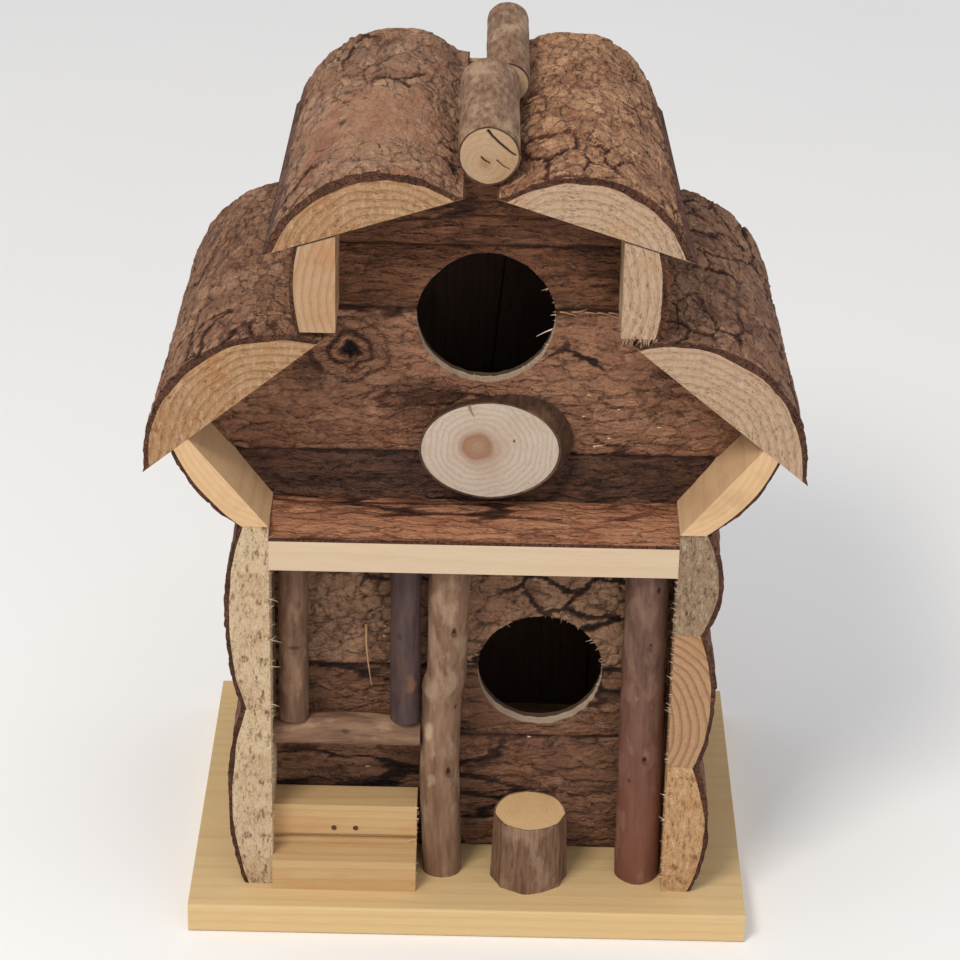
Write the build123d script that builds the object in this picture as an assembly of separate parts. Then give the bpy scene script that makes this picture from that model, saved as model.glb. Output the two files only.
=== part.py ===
"""A rustic two-storey nesting house of bark-faced slabs, for insects or small birds.

Every board, slab, branch and nail is a solid of its own, written to parts/NODE.step in millimetres.
The frame is +Z up with its origin at the middle of the base plank's underside, and the front faces -Y.
The house is a prism along Y: the side walls rise straight, flare out over the balcony, and close in
under a steep pair of roof slabs, a narrow clerestory and a shallow pair of roof slabs at the ridge.
Depths are measured backwards from the front ends of the side slabs, which stand at Y = FRONT.
"""

from build123d import *
from math import cos, hypot, radians, sin, sqrt, tan
import os

os.makedirs("parts", exist_ok=True)

# The prism and its base.
DEPTH = 150.0            # the side slabs and roof slabs, front end to back end
BASE_THICK = 12.0
BASE_WIDTH = 212.0
BASE_LIP = 15.0          # the base runs this far forward of the side slabs
BASE_HEEL = 1.0          # and this far behind them
BASE_ROUND = 1.0
FRONT = (BASE_LIP - BASE_HEEL - DEPTH) / 2

# The inner outline, seen from the front: half widths, heights and slopes.
HALF_LOW = 74.5          # inner face of the straight side walls
KINK_Z = 167.5           # where the straight walls end and the flare begins
FLARE_TILT = 51.1        # degrees above the horizontal
LOWER_PITCH = 39.6       # degrees, the steep roof slabs
LOWER_TIP = (57.5, 239.7)   # wood tip of a steep roof slab
HALF_CLERESTORY = 50.0   # inner face of the clerestory boards
UPPER_PITCH = 18.0       # degrees, the shallow roof slabs
UPPER_TIP = (10.5, 295.0)   # wood tip of a shallow roof slab, beside the ridge

# Log segments of the roof: radius of the wood, width of its sawn face, bark on top of it.
LOWER_LOG = {"radius": 46.1, "chord": 76.0, "bark": 3.5}
UPPER_LOG = {"radius": 38.7, "chord": 63.1, "bark": 4.3}

# Side slabs: thickness at a seam, and how far the barked side swells between seams.
WALL_EDGE = 12.0
WALL_SWELL = 5.5
LEFT_SEAMS = (BASE_THICK, 90.0, KINK_Z)
RIGHT_SEAMS = (BASE_THICK, 68.5, 125.5, KINK_Z)
FLARE_THICK = 9.0
FLARE_SWELL = 3.0
CLERESTORY_THICK = 14.5
CLERESTORY_SWELL = 2.0
REST_GAP = 0.1           # air left under a board that rests on a round slab

# Front wall: horizontal slabs with their bark outwards, set back from the front ends.
WALL_SET_BACK = 26.0     # depth of the bark's crest
WALL_THICK = 9.0
WALL_GROOVE = 2.5        # how far the bark falls away towards a seam
WALL_SEAMS = (BASE_THICK, 63.2, 93.6, 150.0, 184.5, 242.2, 267.0)
WALL_TOP = 295.6
UPPER_HOLE = {"x": 2.7, "z": 239.5, "radius": 25.0}
LOWER_HOLE = {"x": 26.0, "z": 93.5, "radius": 23.7}

# Back wall: upright boards, whose seams lean a little. Each seam is (x at the base, x at the ridge).
BACK_OUTER = 146.0
BACK_THICK = 9.0
BACK_SEAMS = ((-66.0, -54.0), (-8.5, 16.9), (48.0, 56.0))
FLOOR_THICK = 9.0

# Balcony, perch slice and ridge logs.
BALCONY_BOTTOM = 149.8
BALCONY_EDGE = 13.5      # sawn front edge
BALCONY_BACK = 17.8      # thickness where it meets the wall
SLICE = {"x": 5.0, "z": 191.7, "wide": 52.4, "high": 39.4, "thick": 8.8}
RIDGE_FRONT = {"x": 2.4, "radius": 11.3, "near": 10.0, "far": 80.0}
RIDGE_REAR = {"x": 8.8, "radius": 8.4, "near": 80.5, "far": 149.0}
RIDGE_AIR = 0.15

# Porch: posts and sticks as (x at foot, x at head, radius at foot, radius at head, depth of axis).
MIDDLE_POST = (-10.2, -8.9, 7.9, 8.2, 14.2)
RIGHT_POST = (65.3, 64.3, 9.1, 8.7, 13.4)
LEFT_STICK = (-66.7, -66.5, 6.1, 6.0, 14.0)
RIGHT_STICK = (-24.7, -24.9, 6.0, 6.1, 14.0)
RAIL = {"left": -HALF_LOW, "right": -18.9, "bottom": 68.5, "near": 8.5, "far": 19.5}
RAIL_TOPS = (77.2, 80.6, 77.8)    # at its left end, middle and right end
STEP_LEFT, STEP_RIGHT = -HALF_LOW, -19.8
LOWER_STEP = {"near": -3.0, "far": 8.8, "top": 25.3}
UPPER_STEP = {"near": 9.0, "far": 22.6, "top": 42.8}
STEP_GROOVE = {"low": 27.6, "high": 29.9, "deep": 2.0}
STUMP = {"x": 23.5, "depth": 11.4, "foot": 15.3, "head": 13.7, "tall": 28.6}

# Nails: shank radius and head radius.
BRAD = {"shank": 0.7, "head": 1.1, "cap": 0.6}
SCREW = {"shank": 1.5, "head": 3.0, "cap": 2.0}
BRAD_BITE = 5.0          # how far a brad goes into the piece behind
BRAD_SUNK = 0.5          # how far a brad in a slab is driven below the wood under its bark
ROOF_BRAD_LONG = 30.0
POST_BRADS = ((MIDDLE_POST, -6.5, 120.4), (MIDDLE_POST, -7.8, 59.2),
              (RIGHT_POST, 65.9, 116.7), (RIGHT_POST, 65.9, 67.6))
STEP_BRADS_X, STEP_BRADS_Z = (-51.5, -43.2), 32.6
WALL_BRADS_Z = (40.0, 108.0)
SCREW_SUNK, SCREW_LONG, SCREW_DEPTHS = 0.2, 34.0, (22.0, 128.0)
WALL_MIDDLES = (WALL_SET_BACK + WALL_THICK / 2 + 0.5, BACK_OUTER - BACK_THICK / 2)


def write(name, shape):
    """Writes one sub-part, under the name of its node."""
    shape.label = name
    export_step(shape, f"parts/{name}.step")


def at(x, depth, z):
    """A point given by its depth behind the front ends."""
    return (x, FRONT + depth, z)


def run_back(outline, near, far):
    """The solid of a closed XZ outline, a list of edges at depth near, run back to depth far."""
    return extrude(make_face(outline), amount=far - near, dir=(0, 1, 0))


def prism(points, near, far):
    """A polygon of (x, z) corners run back from near to far."""
    return run_back(Polyline(*[at(x, near, z) for x, z in points], close=True).edges(), near, far)


def swollen(face_a, face_b, back_b, back_a, swell, near, far):
    """A slab with a flat face from face_a to face_b, and a barked back that swells between its corners."""
    middle_x, middle_z = (back_a[0] + back_b[0]) / 2, (back_a[1] + back_b[1]) / 2
    across_x, across_z = back_b[1] - back_a[1], back_a[0] - back_b[0]
    size = hypot(across_x, across_z)
    crown = (middle_x + swell * across_x / size, middle_z + swell * across_z / size)
    flat = Polyline(*[at(x, near, z) for x, z in (back_a, face_a, face_b, back_b)])
    round_back = ThreePointArc(at(back_b[0], near, back_b[1]), at(crown[0], near, crown[1]),
                               at(back_a[0], near, back_a[1]))
    return run_back([*flat.edges(), *round_back.edges()], near, far)


def log_centre(tip, pitch, log):
    """Centre of the log that a roof slab was sawn from, on the right-hand side."""
    half = log["chord"] / 2
    below = sqrt(log["radius"] ** 2 - half ** 2)
    c, s = cos(radians(pitch)), sin(radians(pitch))
    return tip[0] + half * c - below * s, tip[1] - half * s - below * c


def roof_slab(tip, pitch, log):
    """A segment of a log with its bark on, flat side down, on the right-hand side."""
    x, z = log_centre(tip, pitch, log)
    outer = log["radius"] + log["bark"]
    below = sqrt(log["radius"] ** 2 - (log["chord"] / 2) ** 2)
    half = sqrt(outer ** 2 - below ** 2)
    c, s = cos(radians(pitch)), sin(radians(pitch))
    inner_end = (x + below * s - half * c, z + below * c + half * s)
    outer_end = (x + below * s + half * c, z + below * c - half * s)
    crown = (x + outer * s, z + outer * c)
    sawn = Line(at(inner_end[0], 0, inner_end[1]), at(outer_end[0], 0, outer_end[1]))
    bark = ThreePointArc(at(outer_end[0], 0, outer_end[1]), at(crown[0], 0, crown[1]),
                         at(inner_end[0], 0, inner_end[1]))
    return run_back([*sawn.edges(), *bark.edges()], 0, DEPTH)


def left_of(shape):
    """The same shape on the left-hand side."""
    return mirror(shape, about=Plane.YZ)


def steep_z(x):
    """Height of the steep roof's underside at half width x."""
    return LOWER_TIP[1] - (x - LOWER_TIP[0]) * tan(radians(LOWER_PITCH))


def shallow_z(x):
    """Height of the shallow roof's underside at half width x."""
    return UPPER_TIP[1] - (x - UPPER_TIP[0]) * tan(radians(UPPER_PITCH))


def flare_meets_roof(x_at_kink):
    """Where a face of the flare, which starts at x_at_kink, meets the steep roof's underside."""
    rise, fall = tan(radians(FLARE_TILT)), tan(radians(LOWER_PITCH))
    x = (LOWER_TIP[1] + fall * LOWER_TIP[0] - KINK_Z + rise * x_at_kink) / (rise + fall)
    return x, steep_z(x)


LOWER_CENTRE = log_centre(LOWER_TIP, LOWER_PITCH, LOWER_LOG)
UPPER_CENTRE = log_centre(UPPER_TIP, UPPER_PITCH, UPPER_LOG)
CLERESTORY_FOOT = LOWER_CENTRE[1] + LOWER_LOG["radius"] + LOWER_LOG["bark"] + REST_GAP
EAVE_CORNER = flare_meets_roof(HALF_LOW)
INNER_HALF = (
    (HALF_LOW, BASE_THICK), (HALF_LOW, KINK_Z), EAVE_CORNER, LOWER_TIP,
    (HALF_CLERESTORY, CLERESTORY_FOOT), (HALF_CLERESTORY, shallow_z(HALF_CLERESTORY)),
    UPPER_TIP,
)


def inner_prism(near, far, top):
    """The room between the side slabs, under the roof, filled solid, with a tongue up to top at the ridge."""
    tongue = 5.0
    right = [*INNER_HALF, (tongue, shallow_z(tongue)), (tongue, top)]
    return prism(right + [(-x, z) for x, z in reversed(right)], near, far)


def bore(hole):
    """The cutter of an entrance hole, along Y."""
    start = Plane(origin=at(hole["x"], 0, hole["z"]), z_dir=(0, 1, 0))
    return extrude(start * Circle(hole["radius"]), amount=DEPTH / 2)


def base_plank():
    plank = Pos(0, 0, BASE_THICK / 2) * Box(BASE_WIDTH, DEPTH + BASE_LIP + BASE_HEEL, BASE_THICK)
    return fillet(plank.edges().filter_by(Axis.X), BASE_ROUND)


def wall_slabs(seams):
    """The stacked slabs of a straight side wall on the right-hand side, from the base up."""
    for low, high in zip(seams, seams[1:]):
        yield swollen((HALF_LOW, low), (HALF_LOW, high), (HALF_LOW + WALL_EDGE, high),
                      (HALF_LOW + WALL_EDGE, low), WALL_SWELL, 0, DEPTH)


def flare_slab():
    """The leaning slab over the kink on the right-hand side, cut level below and mitred to the roof above."""
    outer_foot = HALF_LOW + FLARE_THICK / sin(radians(FLARE_TILT))
    return swollen((HALF_LOW, KINK_Z), EAVE_CORNER, flare_meets_roof(outer_foot), (outer_foot, KINK_Z),
                   FLARE_SWELL, 0, DEPTH)


def clerestory_board():
    """The short upright board between the two roofs on the right-hand side."""
    outer = HALF_CLERESTORY + CLERESTORY_THICK
    return swollen((HALF_CLERESTORY, CLERESTORY_FOOT), (HALF_CLERESTORY, shallow_z(HALF_CLERESTORY)),
                   (outer, shallow_z(outer)), (outer, CLERESTORY_FOOT), CLERESTORY_SWELL, 0, DEPTH)


def front_boards():
    """The front wall's slabs, from the base up: flat inside, bark outside, shaped to the prism."""
    room = inner_prism(WALL_SET_BACK, WALL_SET_BACK + WALL_THICK, WALL_TOP)
    tops = (*WALL_SEAMS[1:], WALL_TOP)
    half = BASE_WIDTH / 2
    for low, high in zip(WALL_SEAMS, tops):
        back, edge = FRONT + WALL_SET_BACK + WALL_THICK, FRONT + WALL_SET_BACK + WALL_GROOVE
        flat = Polyline((-half, edge, low), (-half, back, low), (-half, back, high), (-half, edge, high))
        bark = ThreePointArc((-half, edge, high), (-half, FRONT + WALL_SET_BACK, (low + high) / 2),
                             (-half, edge, low))
        blank = extrude(make_face([*flat.edges(), *bark.edges()]), amount=2 * half, dir=(1, 0, 0))
        yield (blank & room) - bore(UPPER_HOLE) - bore(LOWER_HOLE)


def back_boards():
    """The back wall's upright boards, from left to right."""
    near, wide = BACK_OUTER - BACK_THICK, BASE_WIDTH
    room = inner_prism(near, BACK_OUTER, WALL_TOP)
    edges = ((-wide, -wide), *BACK_SEAMS, (wide, wide))
    for (low_a, high_a), (low_b, high_b) in zip(edges, edges[1:]):
        corners = [(low_a, BASE_THICK), (low_b, BASE_THICK), (high_b, WALL_TOP), (high_a, WALL_TOP)]
        yield room & prism(corners, near, BACK_OUTER)


def inner_floor():
    """The floor between the lower and the upper nesting room."""
    corners = [(-HALF_LOW, KINK_Z - FLOOR_THICK), (HALF_LOW, KINK_Z - FLOOR_THICK),
               (HALF_LOW, KINK_Z), (-HALF_LOW, KINK_Z)]
    return prism(corners, WALL_SET_BACK + WALL_THICK, BACK_OUTER - BACK_THICK)


def balcony_slab():
    """The ledge in front of the wall: sawn flat below and in front, its barked top rising to the wall."""
    lip, back = BALCONY_BOTTOM + BALCONY_EDGE, BALCONY_BOTTOM + BALCONY_BACK
    flat = Polyline(at(-HALF_LOW, 0, lip), at(-HALF_LOW, 0, BALCONY_BOTTOM),
                    at(-HALF_LOW, WALL_SET_BACK, BALCONY_BOTTOM), at(-HALF_LOW, WALL_SET_BACK, back))
    bark = ThreePointArc(at(-HALF_LOW, WALL_SET_BACK, back),
                         at(-HALF_LOW, WALL_SET_BACK * 0.45, (lip + back) / 2 + 1.3),
                         at(-HALF_LOW, 0, lip))
    slab = extrude(make_face([*flat.edges(), *bark.edges()]), amount=2 * HALF_LOW, dir=(1, 0, 0))
    return slab


def perch_slice():
    """An oval slice of a branch, glued flat on the wall over the balcony."""
    depth = WALL_SET_BACK - SLICE["thick"]
    face = Plane(origin=at(SLICE["x"], depth, SLICE["z"]), x_dir=(1, 0, 0), z_dir=(0, 1, 0))
    return extrude(face * Ellipse(SLICE["wide"] / 2, SLICE["high"] / 2), amount=SLICE["thick"])


def ridge_log(log):
    """A round log in the valley between the shallow roof slabs, resting on the right-hand one."""
    reach = UPPER_LOG["radius"] + UPPER_LOG["bark"] + log["radius"] + RIDGE_AIR
    z = UPPER_CENTRE[1] + sqrt(reach ** 2 - (UPPER_CENTRE[0] - log["x"]) ** 2)
    start = Plane(origin=at(log["x"], log["near"], z), z_dir=(0, 1, 0))
    return extrude(start * Circle(log["radius"]), amount=log["far"] - log["near"])


def branch(pole, low, high):
    """An upright branch that tapers and leans a little."""
    foot_x, head_x, foot_r, head_r, depth = pole
    foot = Plane(at(foot_x, depth, low)) * Circle(foot_r)
    head = Plane(at(head_x, depth, high)) * Circle(head_r)
    return loft([foot, head])


def rail_height(x):
    """Height of the rail's bowed top over x, on the parabola through its three tops."""
    left, middle, right = RAIL_TOPS
    share = (x - RAIL["left"]) / (RAIL["right"] - RAIL["left"])
    return left + share * (4 * middle - 3 * left - right) + share ** 2 * 2 * (left + right - 2 * middle)


def window_rail():
    """A split branch across the window, flat below and bowed above."""
    left, right = RAIL["left"], RAIL["right"]
    middle = (left + right) / 2
    flat = Polyline(at(left, RAIL["near"], RAIL_TOPS[0]), at(left, RAIL["near"], RAIL["bottom"]),
                    at(right, RAIL["near"], RAIL["bottom"]), at(right, RAIL["near"], RAIL_TOPS[2]))
    bowed = ThreePointArc(at(right, RAIL["near"], RAIL_TOPS[2]), at(middle, RAIL["near"], RAIL_TOPS[1]),
                          at(left, RAIL["near"], RAIL_TOPS[0]))
    return run_back([*flat.edges(), *bowed.edges()], RAIL["near"], RAIL["far"])


def step(size, low):
    """A sawn batten across the stair."""
    corners = [(STEP_LEFT, low), (STEP_RIGHT, low), (STEP_RIGHT, size["top"]), (STEP_LEFT, size["top"])]
    return prism(corners, size["near"], size["far"])


def upper_step():
    """The higher tread, with the shallow groove of a tongued board along the foot of its riser."""
    groove = prism([(STEP_LEFT, STEP_GROOVE["low"]), (STEP_RIGHT, STEP_GROOVE["low"]),
                    (STEP_RIGHT, STEP_GROOVE["high"]), (STEP_LEFT, STEP_GROOVE["high"])],
                   UPPER_STEP["near"], UPPER_STEP["near"] + STEP_GROOVE["deep"])
    return step(UPPER_STEP, BASE_THICK) - groove


def stump_seat():
    x, depth = STUMP["x"], STUMP["depth"]
    foot = Plane(at(x, depth, BASE_THICK)) * Circle(STUMP["foot"])
    head = Plane(at(x, depth, BASE_THICK + STUMP["tall"])) * Circle(STUMP["head"])
    return loft([foot, head])


def nail(size, head, inwards, length):
    """A nail with its head's face at the point head, driven along inwards."""
    start = Plane(origin=head, z_dir=inwards)
    cap = extrude(start * Circle(size["head"]), amount=size["cap"])
    return cap + extrude(start * Circle(size["shank"]), amount=length)


def on_post(pole, x, z):
    """The point of a porch post's front surface at a given x and height."""
    foot_x, head_x, foot_r, head_r, depth = pole
    share = (z - BASE_THICK) / (BALCONY_BOTTOM - BASE_THICK)
    axis_x, radius = foot_x + share * (head_x - foot_x), foot_r + share * (head_r - foot_r)
    return at(x, depth - sqrt(radius ** 2 - (x - axis_x) ** 2), z)


def post_brads():
    """Two brads through each porch post into the front wall."""
    heads = [on_post(pole, x, z) for pole, x, z in POST_BRADS]
    return [nail(BRAD, head, (0, 1, 0), FRONT + WALL_SET_BACK + BRAD_BITE - head[1]) for head in heads]


def step_brads():
    """Two brads in the higher riser."""
    return [nail(BRAD, at(x, UPPER_STEP["near"], STEP_BRADS_Z), (0, 1, 0), 2 * BRAD_BITE)
            for x in STEP_BRADS_X]


def side_brad(side, depth, z):
    """A brad driven level through a side wall, its head sunk just under the bark."""
    head = at(side * (HALF_LOW + WALL_EDGE - BRAD_SUNK), depth, z)
    return nail(BRAD, head, (-side, 0, 0), WALL_EDGE + 2 * BRAD_BITE)


def balcony_brads():
    """Brads through the side walls into the ends of the balcony slab."""
    return [side_brad(side, WALL_SET_BACK / 2, BALCONY_BOTTOM + BALCONY_EDGE / 2) for side in (-1, 1)]


def roof_brads():
    """Brads down through each roof slab into the front and the back wall."""
    nails = []
    for centre, log, pitch in ((LOWER_CENTRE, LOWER_LOG, LOWER_PITCH),
                               (UPPER_CENTRE, UPPER_LOG, UPPER_PITCH)):
        under_bark = log["radius"] - BRAD_SUNK
        c, s = cos(radians(pitch)), sin(radians(pitch))
        for side in (-1, 1):
            for depth in WALL_MIDDLES:
                head = at(side * (centre[0] + under_bark * s), depth, centre[1] + under_bark * c)
                nails.append(nail(BRAD, head, (-side * s, 0, -c), ROOF_BRAD_LONG))
    return nails


def wall_brads():
    """Brads through the side walls into the edges of the front and the back wall."""
    return [side_brad(side, depth, z) for side in (-1, 1) for depth in WALL_MIDDLES for z in WALL_BRADS_Z]


def base_screws():
    """Countersunk screws up through the base plank into the side walls."""
    return [nail(SCREW, at(side * (HALF_LOW + WALL_EDGE / 2), depth, SCREW_SUNK), (0, 0, 1), SCREW_LONG)
            for side in (-1, 1) for depth in SCREW_DEPTHS]


def main():
    write("base_plank", base_plank())
    for name, slab in zip(("lower", "upper"), wall_slabs(LEFT_SEAMS)):
        write(f"left_wall_{name}_slab", left_of(slab))
    for name, slab in zip(("lower", "middle", "upper"), wall_slabs(RIGHT_SEAMS)):
        write(f"right_wall_{name}_slab", slab)
    sides = (("flare_slab", flare_slab()), ("clerestory_board", clerestory_board()),
             ("lower_roof_slab", roof_slab(LOWER_TIP, LOWER_PITCH, LOWER_LOG)),
             ("upper_roof_slab", roof_slab(UPPER_TIP, UPPER_PITCH, UPPER_LOG)))
    for name, shape in sides:
        write(f"right_{name}", shape)
        write(f"left_{name}", left_of(shape))
    for number, board in enumerate(front_boards(), 1):
        write(f"front_wall_board_{number}", board)
    for number, board in enumerate(back_boards(), 1):
        write(f"back_wall_board_{number}", board)
    write("inner_floor", inner_floor())
    write("balcony_slab", balcony_slab())
    write("perch_slice", perch_slice())
    write("front_ridge_log", ridge_log(RIDGE_FRONT))
    write("rear_ridge_log", ridge_log(RIDGE_REAR))
    write("middle_post", branch(MIDDLE_POST, BASE_THICK, BALCONY_BOTTOM))
    write("right_post", branch(RIGHT_POST, BASE_THICK, BALCONY_BOTTOM))
    for name, stick in (("left", LEFT_STICK), ("right", RIGHT_STICK)):
        foot = max(rail_height(stick[0] - stick[2]), rail_height(stick[0] + stick[2])) + REST_GAP
        write(f"{name}_window_stick", branch(stick, foot, BALCONY_BOTTOM))
    write("window_rail", window_rail())
    write("lower_step", step(LOWER_STEP, BASE_THICK))
    write("upper_step", upper_step())
    write("stump_seat", stump_seat())
    groups = (("post_brads", post_brads()), ("step_brads", step_brads()), ("balcony_brads", balcony_brads()),
              ("roof_brads", roof_brads()), ("wall_brads", wall_brads()), ("base_screws", base_screws()))
    for name, nails in groups:
        write(name, Compound(children=nails))


main()
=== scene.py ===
"""A rustic house of bark-faced slabs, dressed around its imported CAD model. Lengths are in millimetres."""

from itertools import product

import bpy
from mathutils import Matrix, Vector
import numpy as np


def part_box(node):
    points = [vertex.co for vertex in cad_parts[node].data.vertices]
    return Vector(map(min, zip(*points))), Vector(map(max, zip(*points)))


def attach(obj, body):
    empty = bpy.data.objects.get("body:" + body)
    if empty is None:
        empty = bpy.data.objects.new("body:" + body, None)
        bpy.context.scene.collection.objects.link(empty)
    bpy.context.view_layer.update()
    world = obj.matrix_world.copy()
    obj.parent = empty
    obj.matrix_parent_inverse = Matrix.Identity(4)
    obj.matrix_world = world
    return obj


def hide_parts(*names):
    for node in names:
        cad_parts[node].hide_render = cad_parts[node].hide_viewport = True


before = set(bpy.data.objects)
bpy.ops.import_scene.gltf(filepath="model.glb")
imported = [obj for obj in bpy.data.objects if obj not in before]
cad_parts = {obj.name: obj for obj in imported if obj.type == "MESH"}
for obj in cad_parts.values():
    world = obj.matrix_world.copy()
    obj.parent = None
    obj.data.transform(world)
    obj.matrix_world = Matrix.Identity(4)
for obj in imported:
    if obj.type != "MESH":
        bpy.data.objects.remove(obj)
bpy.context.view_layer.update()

MM = 0.001

# Camera, in the row frame.
AIM = (1.7, -68.0, 188.5)
CAMERA_BACK = (0.0, -0.8886, 0.4586)
CAMERA_FAR = 1115.4
CAMERA_ROLL = 1.2
LENS = 116.8

# Spacing of the points on bark, on the side slabs, and on the back wall.
FINE, SIDE_FINE, PLAIN_FINE = 0.9, 1.1, 2.0
CRISP = 38.0  # degrees: edges sharper than this stay sharp
WOOD_ROWS, BARK_ROWS = 8, 3  # layers of points through a slab
STRIP_ROWS = 7  # and through the balcony's wood

CALM = 2.0  # the plate value of bark that lies smooth
SMALL_PLATES = 2.6  # small bark plates to one big one
JITTER = 0.8  # how far a plate's middle strays in its cell
MAX_BORDER = 9.0  # more than any distance inside a cell

HOLES = ((2.7, 239.5, 25.0), (26.0, 93.5, 23.7))  # x, z and radius of the entrances
KNOT = (-46.1, 225.6, 10.0, 5)  # x, z, radius and seed
SEAM_GROOVE = 2.5  # how far a wall board's bark falls away towards its seams
BOARD_BARK = 2.2  # thickness of a wall board's bark
BOARD_GAP = 0.9  # between the back wall's boards
GAP_DEEP = 1.2  # how far that gap is cut into the back's outside
WALL_FACE = 26.0  # depth of the front wall's bark behind the front ends
INNER_HALF = 74.5  # from the middle to a side wall's inner face
PITH_FAR = 55.0  # from a slab's bark to the middle of its tree
RING_MIDDLE = (50.0, 84.0)  # the pith of the right middle slab, in x and z
RAGGED_END = 1.2  # how far bark breaks back from a slab's ends
STRIP_BARK = 1.6  # thickness of the balcony's bark
SLICE_SPREAD = 4.4  # how far the perch slice's bark spreads at its back
SLICE_TUCK = 2.6  # and how far it draws in along the top


# -------- noise

MASK = np.uint64(0xFFFFFFFF)
PRIMES = tuple(np.uint64(n) for n in (73856093, 19349663, 83492791))
STIR = np.uint64(2246822519)


def rows(*columns):
    """Columns of numbers side by side, with one row for each point."""
    return np.stack(np.broadcast_arrays(*columns), 1)


def hashed(cells, seed):
    """A repeatable random number from 0 to 1 for each row of whole numbers."""
    total = np.full(len(cells), (seed + 11) * 2654435761 % 2 ** 32, np.uint64)
    for column, prime in zip(cells.T, PRIMES):
        total = (total ^ (((column + 2 ** 20).astype(np.uint64) * prime) & MASK)) & MASK
        total = ((total ^ (total >> np.uint64(15))) * STIR) & MASK
    total ^= total >> np.uint64(13)
    return total / 2.0 ** 32


def noise(places, seed):
    """Smooth noise from -1 to 1 at each row of places."""
    places = np.asarray(places, float)
    low = np.floor(places).astype(np.int64)
    share = places - low
    share = share * share * (3 - 2 * share)
    total = 0
    for corner in product((0, 1), repeat=places.shape[1]):
        weight = np.prod(np.where(corner, share, 1 - share), axis=1)
        total = total + weight * hashed(low + np.array(corner), seed)
    return 2 * total - 1


def rough(places, seed, octaves=3):
    """Noise with finer noise on top of it, from about -1 to 1."""
    return sum(noise(places * 2.0 ** k, seed + k) * 0.5 ** k for k in range(octaves)) / 1.6


def worn(places, seed, octaves=3):
    """The same from about 0 to 1."""
    return 0.5 + 0.5 * rough(places, seed, octaves)


def smooth(value, low, high):
    """0 below low, 1 above high, and an S curve between."""
    t = np.clip((value - low) / (high - low), 0, 1)
    return t * t * (3 - 2 * t)


def fade(value, low, high):
    """1 below low, and 0 above high."""
    return 1 - smooth(value, low, high)


def cores(cells, seed):
    """The jittered middle of each cell."""
    return cells + 0.5 + JITTER * (rows(hashed(cells, seed), hashed(cells, seed + 1)) - 0.5)


def plates(places, seed):
    """Irregular cells: distance to the nearest border, the cell's random number, and its tilted height."""
    home = np.floor(places).astype(np.int64)
    best = np.full(len(places), MAX_BORDER)
    centre = np.zeros((len(places), 2))
    tag, lean = np.zeros(len(places)), np.zeros(len(places))
    for shift in product((-1, 0, 1), repeat=2):
        cells = home + np.array(shift)
        core = cores(cells, seed)
        gap = np.linalg.norm(places - core, axis=1)
        nearer = gap < best
        best[nearer], centre[nearer] = gap[nearer], core[nearer]
        tag[nearer] = hashed(cells[nearer], seed + 2)
        lean[nearer] = 2 * np.pi * hashed(cells[nearer], seed + 3)
    border = np.full(len(places), MAX_BORDER)
    for shift in product(range(-2, 3), repeat=2):
        across = cores(home + np.array(shift), seed) - centre
        size = np.linalg.norm(across, axis=1)
        other = size > 1e-6
        reach = size[other] / 2 - np.sum((places[other] - centre[other]) * across[other], 1) / size[other]
        border[other] = np.minimum(border[other], reach)
    away = places - centre
    slope = away[:, 0] * np.cos(lean) + away[:, 1] * np.sin(lean)
    return border, tag, np.clip(0.2 + 0.6 * tag + 0.55 * slope, 0, 1)


def bark_relief(places, size, deep, seed, gape=0.0, calm=None):
    """Flaky bark over (across, along): depth below its highest layer, relief 0 to 1, and colour tag.

    Big and small plates lie tilted over each other, with terraces of older layers, painted shadow along the
    terraces' steps, and cracks between.
    More gape opens more cracks. calm is (across, along, radius) of a patch that lies smooth."""
    scaled = places / np.array(size)
    least = min(size)
    bend = 0.35 * rows(noise(scaled * 1.1, seed + 1), noise(scaled * 1.1, seed + 2))
    fray = 0.13 * rows(rough(scaled * 5, seed + 3), rough(scaled * 5, seed + 4))
    spot = scaled + bend + fray
    border, tag, height = plates(spot, seed)
    near_border, near_tag, near_height = plates(spot * SMALL_PLATES + 3.1, seed + 20)
    layers = 3.0 * rough((scaled + bend) * 0.75 + fray, seed + 5, 4) + 3.5
    rise = layers - np.floor(layers)
    terrace = np.clip((np.floor(layers) + smooth(rise, 0.0, 0.25)) / 5.5, 0, 1)
    high = 0.40 * height + 0.28 * near_height + 0.32 * terrace
    fissure = fade(border * least, 0.25, 1.2) * smooth(noise(scaled * 0.8, seed + 6) + gape, -0.3, 0.5)
    crack = fade(near_border * least / SMALL_PLATES, 0.25, 1.1)
    crack = crack * smooth(noise(scaled * 1.3, seed + 9) + gape, -0.5, 0.4)
    # painted shadow: a dark line along each terrace's step
    lip = fade(np.minimum(rise, 1 - rise), 0.02, 0.2) * smooth(noise(scaled, seed + 10), -0.4, 0.4)
    tone = np.clip(0.45 * tag + 0.55 * near_tag, 0, 1)
    if calm is not None:
        across, along, radius = calm
        away = np.hypot(places[:, 0] - across, (places[:, 1] - along) * 0.8)
        away = away + 14 * rough(scaled * 2, seed + 12) + 9 * noise(places / 3, seed + 13)
        still = 0.85 * fade(away, radius * 0.35, radius * 1.15)
        high = high * (1 - still) + 0.62 * still
        fissure, crack, lip = fissure * (1 - still), crack * (1 - still), lip * (1 - still)
        tone = tone * (1 - still) + CALM * still
    crumbs = worn(places / 1.9, seed + 8, 2)
    drop = 0.66 * (1 - high) + 0.22 * np.maximum(fissure, 0.5 * crack) + 0.12 * crumbs
    relief = (1 - 0.92 * fissure) * (1 - 0.45 * crack) * (1 - 0.3 * lip)
    return deep * drop, np.clip(relief, 0, 1), tone


# -------- CAD outlines

def cad(name):
    """A CAD node's vertices."""
    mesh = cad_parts[name].data
    found = np.empty(len(mesh.vertices) * 3)
    mesh.vertices.foreach_get("co", found)
    return found.reshape(-1, 3) / MM


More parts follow.
